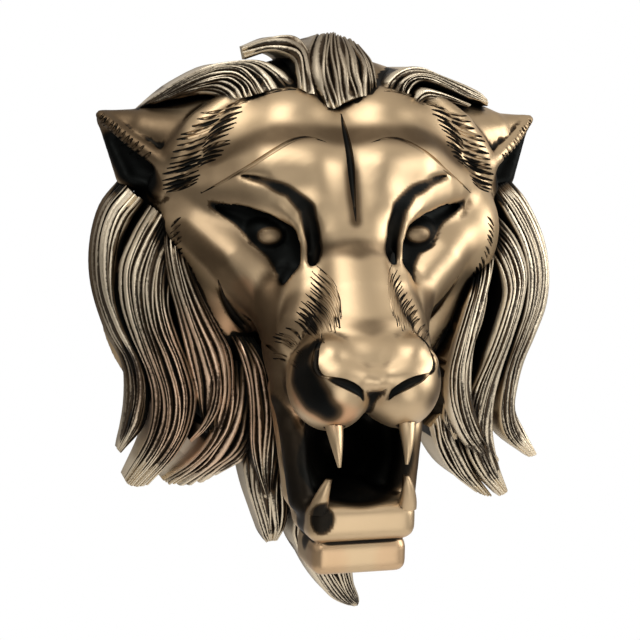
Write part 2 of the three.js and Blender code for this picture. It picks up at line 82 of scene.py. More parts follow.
camera_data = bpy.data.cameras.new("camera")
camera_data.sensor_width = 36
camera_data.lens = LENS
camera_data.shift_x = 0.5 - DRAWING_AT / PICTURE_ACROSS
camera = bpy.data.objects.new("camera", camera_data)
bpy.context.scene.collection.objects.link(camera)
camera_place = Matrix((right, top, back)).transposed().to_4x4()
camera_place.translation = drawing_middle + back * LOOK_DISTANCE
CAMERA_REACH = LENS / camera_data.sensor_width * PICTURE_ACROSS
camera.matrix_world = camera_place
bpy.context.scene.camera = camera


def line_of_sight(column, row):
    """From the camera through a place in the picture."""
    return (column - DRAWING_AT) * right + (PICTURE_ACROSS / 2 - row) * top - CAMERA_REACH * back


def seen(column, row, out):
    """The place on the drawing that lies behind a place in the picture, at a distance out from the wall."""
    eye, way = camera_place.translation, line_of_sight(column, row)
    place = eye + way * ((-out / 1000 - eye.y) / way.y)
    return round(place.x * 1000), out, round(place.z * 1000 + ORIGIN_UP)


def seen_on(tree, column, row):
    """Where a place in the picture lies on the skin, as across and up on the drawing."""
    hit = tree.ray_cast(camera_place.translation, line_of_sight(column, row).normalized())[0]
    return None if hit is None else (abs(round(hit.x * 1000)), round(hit.z * 1000 + ORIGIN_UP))


# Sculpting: masses in a field of distances, skinned where the field is zero


def soft_min(a, b, join):
    h = np.maximum(join - np.abs(a - b), 0) / join
    return np.minimum(a, b) - h * h * join * 0.25


def ellipsoid(centre, radii):
    def distance(x, d, z):
        steps = [(v - c) / r for v, c, r in zip((x, d, z), centre, radii)]
        k0 = np.sqrt(sum(s * s for s in steps))
        k1 = np.sqrt(sum((s / r) ** 2 for s, r in zip(steps, radii))) + 1e-9
        return k0 * (k0 - 1) / k1

    low = [c - r for c, r in zip(centre, radii)]
    high = [c + r for c, r in zip(centre, radii)]
    return low, high, distance


def tube(stations, widen=1.0):
    def distance(x, d, z):
        x = x / widen
        nearest = None
        for a, b in zip(stations, stations[1:]):
            step = [q - p for p, q in zip(a[:3], b[:3])]
            away = (x - a[0], d - a[1], z - a[2])
            along = sum(v * s for v, s in zip(away, step)) / sum(s * s for s in step)
            along = np.clip(along, 0, 1)
            gap = np.sqrt(sum((v - along * s) ** 2 for v, s in zip(away, step)))
            gap = gap - (a[3] + along * (b[3] - a[3]))
            nearest = gap if nearest is None else np.minimum(nearest, gap)
        return nearest

    low = [min(s[n] - s[3] for s in stations) for n in range(3)]
    high = [max(s[n] + s[3] for s in stations) for n in range(3)]
    low[0] *= widen
    high[0] *= widen
    return low, high, distance


def block(centre, half, rounding):
    """A box with rounded edges."""
    def distance(x, d, z):
        over = [np.abs(v - c) - h + rounding for v, c, h in zip((x, d, z), centre, half)]
        outside = np.sqrt(sum(np.maximum(o, 0) ** 2 for o in over))
        inside = np.minimum(np.maximum(np.maximum(over[0], over[1]), over[2]), 0)
        return outside + inside - rounding

    low = [c - h for c, h in zip(centre, half)]
    high = [c + h for c, h in zip(centre, half)]
    return low, high, distance


class Clay:
    """A block of distances on a grid."""

    def __init__(self, low, high, step):
        self.axes = [np.arange(a, b + step, step) for a, b in zip(low, high)]
        self.value = np.full([len(a) for a in self.axes], 1e3, np.float32)

    def work(self, form, join, cut=False, sides=(1,)):
        for side in sides:
            low, high, distance = form
            if side < 0:
                low, high = [-high[0], *low[1:]], [-low[0], *high[1:]]
            reach = join + 5
            part = tuple(
                slice(int(np.searchsorted(axis, a - reach)), int(np.searchsorted(axis, b + reach)))
                for axis, a, b in zip(self.axes, low, high)
            )
            x, d, z = np.ix_(*(axis[cell] for axis, cell in zip(self.axes, part)))
            piece = distance(side * x, d, z).astype(np.float32)
            there = self.value[part]
            there[...] = -soft_min(-there, piece, join) if cut else soft_min(there, piece, join)

    def limit(self, values):
        """Keeps only what lies inside another field."""
        self.value = np.maximum(self.value, values.astype(np.float32))

    def skin(self):
        """A closed mesh: in each crossed cell one point for each patch of inside corners."""
        corners = [(c & 1, (c >> 1) & 1, c >> 2) for c in range(8)]
        edges = [(a, a | bit) for a in range(8) for bit in (1, 2, 4) if not a & bit]
        ranks = np.full((256, 8), -1)
        for config in range(1, 255):
            patch = list(range(8))
            changed = True
            while changed:
                changed = False
                for a, b in edges:
                    if config >> a & 1 and config >> b & 1 and patch[a] != patch[b]:
                        patch[a] = patch[b] = min(patch[a], patch[b])
                        changed = True
            names = sorted({patch[c] for c in range(8) if config >> c & 1})
            for c in range(8):
                if config >> c & 1:
                    ranks[config, c] = names.index(patch[c])
        inside = self.value < 0
        size = [n - 1 for n in inside.shape]

        def at(grid, corner):
            return grid[tuple(slice(c, c + n) for c, n in zip(corner, size))]

        config = np.zeros(size, np.int32)
        for c, corner in enumerate(corners):
            config |= at(inside, corner).astype(np.int32) << c
        cells = np.argwhere((config > 0) & (config < 255))
        kinds = config[tuple(cells.T)]
        counts = ranks[kinds].max(axis=1) + 1
        first = np.concatenate(([0], np.cumsum(counts)))
        values = [self.value[tuple((cells + corner).T)] for corner in corners]
        sums = np.zeros((first[-1], 3))
        crossings = np.zeros(first[-1])
        for a, b in edges:
            crossed = (values[a] < 0) != (values[b] < 0)
            rows = np.flatnonzero(crossed)
            va, vb = values[a][rows], values[b][rows]
            share = (va / (va - vb))[:, None]
            spot = np.array(corners[a]) + share * (np.array(corners[b]) - np.array(corners[a]))
            inner = np.where(va < 0, ranks[kinds[rows], a], ranks[kinds[rows], b])
            owner = first[rows] + inner
            np.add.at(sums, owner, spot)
            np.add.at(crossings, owner, 1)
        offsets = sums / crossings[:, None]
        owner_cell = np.repeat(cells, counts, axis=0)
        points = np.empty_like(offsets)
        for n, axis in enumerate(self.axes):
            near = axis[owner_cell[:, n]]
            far = axis[owner_cell[:, n] + 1]
            points[:, n] = near + offsets[:, n] * (far - near)
        row_of = np.full(size, -1)
        row_of[tuple(cells.T)] = np.arange(len(cells))
        rounds = (
            ((0, 0, 0), (0, 1, 0), (0, 1, 1), (0, 0, 1)),
            ((0, 0, 0), (0, 0, 1), (1, 0, 1), (1, 0, 0)),
            ((0, 0, 0), (1, 0, 0), (1, 1, 0), (0, 1, 0)),
        )
        faces = []
        for axis in range(3):
            step = np.eye(3, dtype=int)[axis]
            near = inside[1:-1, 1:-1, 1:-1]
            far = inside[tuple(slice(1 + s, n - 1 + s) for s, n in zip(step, inside.shape))]
            starts = np.argwhere(near != far) + 1
            starts = starts[np.all(starts < np.array(size), axis=1)]
            here = inside[tuple(starts.T)]
            ring = []
            for back_step in rounds[axis]:
                row = row_of[tuple((starts - back_step).T)]
                start = back_step[0] + 2 * back_step[1] + 4 * back_step[2]
                inner = np.where(here, ranks[kinds[row], start], ranks[kinds[row], start | 1 << axis])
                ring.append(first[row] + inner)
            quads = np.column_stack(ring)
            quads[~here] = quads[~here][:, ::-1]
            faces.append(quads)
        return points, np.vstack(faces)


BOTH = (1, -1)
# Masses that the face and the hollow behind it share: (form, join, sides)
PAD_AND_SKULL = [
    # mane pad
    (ellipsoid((0, 6, 35), (120, 34, 112)), 1, (1,)),
    (ellipsoid((0, 2, 18), (136, 20, 104)), 10, (1,)),
    (ellipsoid((0, 8, -60), (44, 26, 60)), 14, (1,)),
    (ellipsoid((0, 14, 140), (60, 30, 26)), 10, (1,)),
    # skull, temples and cheeks
    (ellipsoid((0, 0, 66), (100, 72, 84)), 12, (1,)),
    (ellipsoid((84, 8, 82), (26, 34, 34)), 14, BOTH),
    (ellipsoid((62, 20, 42), (36, 36, 44)), 12, BOTH),
]

head = Clay((-160, -12, -150), (160, 150, 178), 1.7)

for form, join, sides in PAD_AND_SKULL:
    head.work(form, join, sides=sides)

# lower cheeks, forehead lobes, brow columns and brows
head.work(ellipsoid((66, 12, 10), (30, 36, 34)), 10, sides=BOTH)
head.work(ellipsoid((27, 31, 129), (31, 31, 22)), 5, sides=BOTH)
head.work(tube([(15, 48, 112, 15), (19, 62, 96, 17), (17, 70, 78, 15), (13, 76, 62, 13)]), 12, sides=BOTH)
head.work(tube([(22, 58, 99, 18), (44, 58, 98, 17), (66, 45, 92, 14), (84, 26, 86, 11)]), 14, sides=BOTH)
head.work(ellipsoid((36, 26, 102), (38, 46, 33)), 14, sides=BOTH)
head.work(ellipsoid((62, 22, 122), (24, 26, 26)), 14, sides=BOTH)
head.work(tube([(0, 40, 118, 16), (0, 54, 100, 17), (0, 64, 84, 15), (0, 73, 68, 13)]), 12)

# planes of the upper lid and of the cheek below the eye, and the flank of the snout
head.work(tube([(78, 44, 86, 9), (60, 56, 84, 11), (45, 64, 81, 12), (31, 71, 74, 11)]), 12, sides=BOTH)
head.work(tube([(84, 42, 62, 12), (66, 56, 46, 13), (52, 61, 34, 12), (42, 66, 22, 10)]), 13, sides=BOTH)
head.work(tube([(27, 72, 62, 9), (28, 73, 44, 9), (34, 72, 28, 10)]), 6, sides=BOTH)
head.work(tube([(23, 76, 44, 9), (26, 82, 30, 11), (31, 86, 12, 13), (34, 86, -8, 14)]), 8, sides=BOTH)

# bridge, snout, cheekbones, muscle to the mouth corner, whisker pads and nose pad
head.work(tube([(0, 74, 66, 11), (0, 83, 50, 11), (0, 95, 30, 12.5), (0, 104, 10, 16)], 1.75), 6)
head.work(ellipsoid((0, 66, -8), (38, 50, 36)), 8)
head.work(tube([(92, 34, 64, 10), (72, 44, 46, 12), (56, 52, 30, 11), (42, 64, 14, 10)]), 12, sides=BOTH)
head.work(tube([(38, 66, 16, 14), (37, 76, -8, 14), (36, 84, -30, 11)]), 9, sides=BOTH)
head.work(ellipsoid((93, 33, 58), (15, 21, 28)), 12)
head.work(ellipsoid((20.5, 110, -20), (24.5, 29, 28)), 5, sides=BOTH)
head.work(tube([(0, 106, 2, 17), (0, 115, -4, 15)], 1.9), 4)
head.work(ellipsoid((24, 119, -3), (12, 14, 11)), 3, sides=BOTH)
head.work(ellipsoid((0, 116, -14), (13, 18, 11)), 4)
head.work(ellipsoid((0, 117, -8), (23, 14, 11)), 7)

# skin beside the mouth, jaw, tongue, and the two blocks of lower lip and chin
head.work(tube([(38, 80, -32, 8), (36, 88, -52, 8), (34, 90, -72, 7.5), (31, 92, -92, 8)]), 6, sides=BOTH)
head.work(tube([(34, 66, -30, 11), (30, 70, -60, 11), (26, 72, -92, 11)]), 8, sides=BOTH)
head.work(ellipsoid((0, 36, -62), (36, 40, 46)), 8)
head.work(ellipsoid((0, 68, -106), (29, 40, 22)), 6)
head.work(block((0, 94, -102), (32.5, 24, 11.5), 7.5), 4)
head.work(block((0, 92, -123.5), (28.5, 21, 10.5), 6), 1.2)

# mouth
head.work(ellipsoid((0, 98, -68), (26, 50, 24)), 5, cut=True)
head.work(ellipsoid((0, 130, -68), (31, 36, 21)), 5, cut=True)
head.work(ellipsoid((0, 80, -94), (17, 28, 9)), 3)

# eyes: the socket, the fold from the brow down beside the nose, and the rim of the lid between them
head.work(tube([(76, 52, 78, 2), (62, 62, 73, 6), (50, 69, 65, 9), (39, 74, 57, 10.5), (34, 76, 46, 8.5),
                (39, 76, 35, 3.5)]), 1.5, cut=True, sides=BOTH)
head.work(tube([(62, 66, 95, 1), (50, 77, 93, 2.2), (38, 85, 88, 3.2), (30, 86, 80, 3.8), (25, 84, 66, 4),
                (23, 83, 53, 4), (25, 82, 40, 2.8), (29, 82, 29, 1.2)]), 2.5, cut=True, sides=BOTH)
head.work(tube([(43, 78, 77, 1.4), (33, 81, 68, 2.2), (29, 82, 56, 2.4), (29, 82, 45, 2.2),
                (37, 79, 33, 1.6)]), 1.5, sides=BOTH)
head.work(ellipsoid((46, 57.5, 61), (14, 12, 10.5)), 1, sides=BOTH)

# nose: rim of the pad, and the cleft under it
head.work(tube([(34, 127, -7, 4), (26, 130, -11, 3.2), (19, 131, -11.5, 3), (10, 133, -13, 3.4),
                (0, 132.5, -16, 3.4)]), 6, sides=BOTH)
head.work(tube([(0, 142, -30, 2), (0, 138, -46, 4)]), 4, cut=True)

# ears, the rim and cup of each, and the crescents of fur before them
head.work(tube([(40, 20, 140, 14), (76, 16, 132, 14), (106, 9, 128, 8)]), 8, sides=BOTH)
head.work(tube([(82, 18, 112, 25), (110, 16, 119, 14), (134, 12, 127, 4)]), 5, sides=BOTH)
head.work(tube([(96, 16, 98, 17), (118, 14, 93, 10), (134, 11, 124, 4)]), 5, sides=BOTH)
head.work(tube([(104, 32, 94, 9), (116, 28, 98, 9), (128, 20, 114, 4)]), 3, cut=True, sides=BOTH)
head.work(tube([(137, 15, 128, 3), (129, 21, 121, 4), (121, 26, 114, 4.5), (111, 31, 107, 5),
                (103, 36, 101, 5)]), 1.5, sides=BOTH)
head.work(tube([(60, 40, 140, 7), (80, 40, 124, 9), (95, 36, 106, 9), (104, 30, 86, 7)]), 3, sides=BOTH)

head.limit(-BEHIND_WALL - head.axes[1][None, :, None] + 0 * head.value)

# the hollow at the back
hollow = Clay((-130, -18, -140), (130, 120, 150), 4.0)
for form, join, sides in PAD_AND_SKULL:
    hollow.work(form, join, sides=sides)
hollow.work(tube([(0, 74, 66, 11), (0, 83, 50, 11), (0, 95, 30, 12.5), (0, 104, 10, 16)], 1.6), 5)
hollow.work(ellipsoid((0, 66, -8), (38, 50, 36)), 8)
hollow.value += WALL + 4
x, d, z = np.ix_(*hollow.axes)
hollow.value = soft_min(hollow.value, ellipsoid((0, 0, 30), (104, 17, 92))[2](x, d, z), 10).astype(np.float32)
hollow.limit(4 - tube([(0, 70, -66, 44), (0, 110, -66, 44)])[2](x, d, z))
for side in BOTH:
    hollow.limit(WALL - tube([(61, 62, 70, 12), (46, 68, 58, 20)])[2](side * x, d, z))
hollow.limit(z - 138 + 0 * hollow.value)
hollow.limit(-BEHIND_WALL - d + 0 * hollow.value)


def settled(points, faces, rounds):
    """Evens out the small steps that the grid leaves."""
    for _ in range(rounds):
        sums = np.zeros_like(points)
        counts = np.zeros(len(points))
        for n in range(4):
            a, b = faces[:, n], faces[:, (n + 1) % 4]
            np.add.at(sums, a, points[b])
            np.add.at(counts, a, 1)
        points = points + 0.5 * (sums / counts[:, None] - points)
    return points


def body_of(name, points, faces):
    """A closed body in the part's frame, with its faces turned outwards."""
    points = placed(points)
    faces = [tuple(map(int, face)) for face in faces]
    middle = points.mean(axis=0)
    volume = 0.0
    for sides in {len(face) for face in faces}:
        ring = points[np.array([face for face in faces if len(face) == sides])] - middle
        for n in range(1, sides - 1):
            volume += np.einsum("ij,ij->", ring[:, 0], np.cross(ring[:, n], ring[:, n + 1]))
    if volume < 0:
        faces = [face[::-1] for face in faces]
    mesh = bpy.data.meshes.new(name)
    mesh.from_pydata(points.tolist(), [], faces)
    mesh.update()
    thing = bpy.data.objects.new(name, mesh)
    bpy.context.scene.collection.objects.link(thing)
    return thing


def joined(thing, other, operation):
    """Adds another body to a piece or cuts it away, and removes it."""
    step = thing.modifiers.new("join", "BOOLEAN")
    step.operation = operation
    step.solver = "MANIFOLD"
    step.object = other
    bpy.context.view_layer.objects.active = thing
    thing.select_set(True)
    bpy.ops.object.modifier_apply(modifier=step.name)
    thing.select_set(False)
    bpy.data.objects.remove(other, do_unlink=True)


def spline(points, t):
    """Smooth curve through points, or smooth surface through lines of points, at shares t of its length."""
    p = np.asarray(points, float)
    p = np.concatenate(([2 * p[0] - p[1]], p, [2 * p[-1] - p[-2]]))
    spans = len(p) - 3
    t = np.clip(t, 0, 1) * spans
    n = np.minimum(t.astype(int), spans - 1)
    w = (t - n).reshape((-1,) + (1,) * (p.ndim - 1))
    a, b, c, e = (p[n + k] for k in range(4))
    return (
        (2 * w**3 - 3 * w**2 + 1) * b
        + (w**3 - 2 * w**2 + w) * (c - a) / 2
        + (3 * w**2 - 2 * w**3) * c
        + (w**3 - w**2) * (e - b) / 2
    )


STATIONS = 40
STRAND_SHAPE = ((0.0, 0.0), (0.14, 0.62), (0.36, 0.97), (0.62, 0.97), (0.86, 0.62))
GROOVE = 2.2  # deepest, in millimetres


def hair_sheet(guides, strands, seed, lift_from=0.72):
    """A sheet of hair: strands side by side between guide lines from root to tip, standing on the wall."""
    rng = np.random.default_rng(seed)
    u = np.linspace(0, 1, STATIONS + 1)
    lines = np.stack([spline(guide, u) for guide in guides])
    cuts = np.cumsum(rng.uniform(0.55, 1.6, strands))
    cuts = np.concatenate(([0], cuts / cuts[-1]))
    rises = rng.uniform(-0.7, 0.8, strands)
    wander = rng.uniform(0, 6.28, strands)
    across = [
        (cuts[n] + share * (cuts[n + 1] - cuts[n]), height, n)
        for n in range(strands)
        for share, height in STRAND_SHAPE
    ] + [(1.0, 0.0, strands - 1)]
    v = np.array([a[0] for a in across])
    height = np.array([a[1] for a in across])[:, None]
    owner = np.array([a[2] for a in across])
    drift = 0.25 * np.sin(2 * np.pi * u[None] * 1.3 + wander[owner][:, None]) / strands
    sway = np.minimum(v, 1 - v)[:, None] * 4
    place = np.clip(v[:, None] + drift * np.minimum(sway, 1), 0, 1)
    surface = np.stack([spline(lines[:, k], place[:, k]) for k in range(STATIONS + 1)], axis=1)
    ahead = np.gradient(surface, axis=1)
    sideways = np.gradient(surface, axis=0) + 0.02 * (surface[-1] - surface[0])[None]
    out = np.cross(sideways, ahead)
    out /= np.linalg.norm(out, axis=2)[..., None] + 1e-9
    out *= np.sign(out[..., 1].sum()) or 1
    whole = np.linalg.norm(np.diff(lines, axis=0), axis=2).sum(axis=0)
    pitch = whole[None] * np.diff(cuts)[owner][:, None]
    groove = np.minimum(GROOVE, 0.6 * pitch)
    fade = np.clip(whole / 12, 0, 1)[None]
    rise = (rises[owner][:, None] + 0.3 * np.sin(11 * u[None] + wander[owner][:, None])) * (height > 0) * fade
    edge = np.minimum(3.0, whole / 6)[None] * np.abs(2 * v - 1)[:, None] ** 5
    surface = surface + out * (0.7 * rise * np.minimum(1, pitch / 3.5) - groove * (1 - height))[..., None]
    surface[..., 1] -= edge
    surface[..., 1] = np.maximum(surface[..., 1], 1.5)
    lift = np.clip((u - lift_from) / (1 - lift_from), 0, 1)
    under = []
    for side in (surface[-1], surface[0]):
        low = side.copy()
        low[:, 1] = -BEHIND_WALL + lift * np.maximum(side[:, 1] - 9 + BEHIND_WALL, 0)
        under.append(low)
    grid = np.concatenate((surface, np.stack(under))).transpose(1, 0, 2)
    ring = grid.shape[1]
    points = grid.reshape(-1, 3)
    faces = []
    for i in range(STATIONS):
        for j in range(ring):
            a, b = i * ring + j, i * ring + (j + 1) % ring
            faces.append((a, b, b + ring, a + ring))
    faces.append(tuple(range(ring))[::-1])
    last = STATIONS * ring
    faces.append(tuple(range(last, last + ring)))
    return points, faces


def strands_across(guides):
    """As many strands as fit between the outer guide lines at the widest of four places."""
    first, last = np.array(guides[0], float), np.array(guides[-1], float)
    wide = max(
        np.linalg.norm(first[k * (len(first) - 1) // 4] - last[k * (len(last) - 1) // 4]) for k in range(4)
    )
    return max(3, round(wide / STRAND_WIDTH))


def spindle(path, radius, around=6):
    """A closed tube along a path, with its own radius at each station."""
    path = np.asarray(path, float)
    ahead = np.gradient(path, axis=0)
    ahead /= np.linalg.norm(ahead, axis=1)[:, None] + 1e-9
    side = np.cross(ahead, (0, 1, 0))
    side /= np.linalg.norm(side, axis=1)[:, None] + 1e-9
    rise = np.cross(side, ahead)
    turns = np.arange(around) / around * 2 * np.pi + 0.3
    ring = side[:, None] * np.cos(turns)[None, :, None] + rise[:, None] * np.sin(turns)[None, :, None]
    points = (path[:, None] + np.asarray(radius)[:, None, None] * ring).reshape(-1, 3)
    faces = []
    for i in range(len(path) - 1):
        for j in range(around):
            a, b = i * around + j, i * around + (j + 1) % around
            faces.append((a, b, b + around, a + around))
    faces.append(tuple(range(around))[::-1])
    last = (len(path) - 1) * around
    faces.append(tuple(range(last, last + around)))
    return points, faces


def gathered(bodies):
    """Several closed bodies as one set of points and faces."""
    points, faces, base = [], [], 0
    for p, f in bodies:
        points.append(p)
        faces.extend(tuple(int(v) + base for v in face) for face in f)
        base += len(p)
    return np.vstack(points), faces


def apart(bodies, clearance=0.4):
    """Sorts closed bodies into groups in which none touches another."""
    groups = []
    for points, faces in bodies:
        low, high = points.min(axis=0) - clearance, points.max(axis=0) + clearance
        for group in groups:
            if all((low > other[3]).any() or (high < other[2]).any() for other in group):
                group.append((points, faces, low, high))
                break
        else:
            groups.append([(points, faces, low, high)])
    return [[(points, faces) for points, faces, _, _ in group] for group in groups]


def face_tree(thing):
    mesh = thing.data
    return BVHTree.FromPolygons([v.co[:] for v in mesh.vertices], [tuple(p.vertices) for p in mesh.polygons])


def on_skin(tree, across, up):
    """How far out from the wall the skin lies at a place on the drawing."""
    hit = tree.ray_cast((across / 1000, -0.3, (up - ORIGIN_UP) / 1000), (0, 1, 0))[0]
    return None if hit is None else -hit.y * 1000


def creased(tree, line, deepest, sides):
    """Cutters for a carved line that follows the skin of the face and runs out at its ends."""
    u = np.linspace(0, 1, 20)
    flat = spline(line, u)
    cutters = []
    for side in sides:
        depths = np.array([on_skin(tree, side * x, z) for x, z in flat])
        depths[1:-1] = (depths[:-2] + depths[1:-1] + depths[2:]) / 3
        path = np.column_stack((side * flat[:, 0], depths, flat[:, 1]))
        cutters.append(spindle(path, deepest * (0.1 + 0.9 * np.sin(np.pi * u) ** 0.8), 12))
    return cutters


def combed(tree, inner, outer, count, width, seed, bow=0.0, jump=7, jitter=0.12):
    """Cutters for comb strokes from one line to another, laid along the skin."""
    rng = np.random.default_rng(seed)
    strokes = []
    u = np.linspace(0, 1, 8)
    for n in range(count):
        t = np.array([(n + 0.5 + rng.uniform(-0.2, 0.2)) / count])
        a, b = spline(inner, t)[0], spline(outer, t)[0]
        start, end = rng.uniform(-jitter, jitter, 2)
        flat = a + (b - a) * (u[:, None] * (1 + end - start) + start)
        normal = np.array((-(b - a)[1], (b - a)[0])) * bow
        flat = flat + normal * np.sin(np.pi * u)[:, None]
        size = width * rng.uniform(0.75, 1.25) / 2 * (0.12 + 0.88 * np.sin(np.pi * (0.04 + 0.92 * u)) ** 0.7)
        for side in BOTH:
            depths = [on_skin(tree, side * x, z) for x, z in flat]
            if None in depths or np.abs(np.diff(depths)).max() > jump:
                continue
            path = np.column_stack((side * flat[:, 0], depths, flat[:, 1]))
            strokes.append(spindle(path, size))
    return strokes


def tooth(root, bend, point, thick, blunt, side):
    rings, around = 10, 14
    u = np.linspace(0, 1, rings + 1)[:, None]
    a, b, c = (np.array(p, float) * (side, 1, 1) for p in (root, bend, point))
    centre = (1 - u) ** 2 * a + 2 * u * (1 - u) * b + u**2 * c
    radius = thick + (blunt - thick) * u[:, 0] ** 1.2
    turns = np.arange(around) / around * 2 * np.pi
    circle = np.column_stack((np.cos(turns), np.sin(turns), np.zeros(around)))
    points = (centre[:, None, :] + radius[:, None, None] * circle[None]).reshape(-1, 3)
    faces = []
    for i in range(rings):
        for j in range(around):
            p, q = i * around + j, i * around + (j + 1) % around
            faces.append((p, q, q + around, p + around))
    faces.append(tuple(range(around))[::-1])
    faces.append(tuple(range(rings * around, (rings + 1) * around)))
    return points, faces


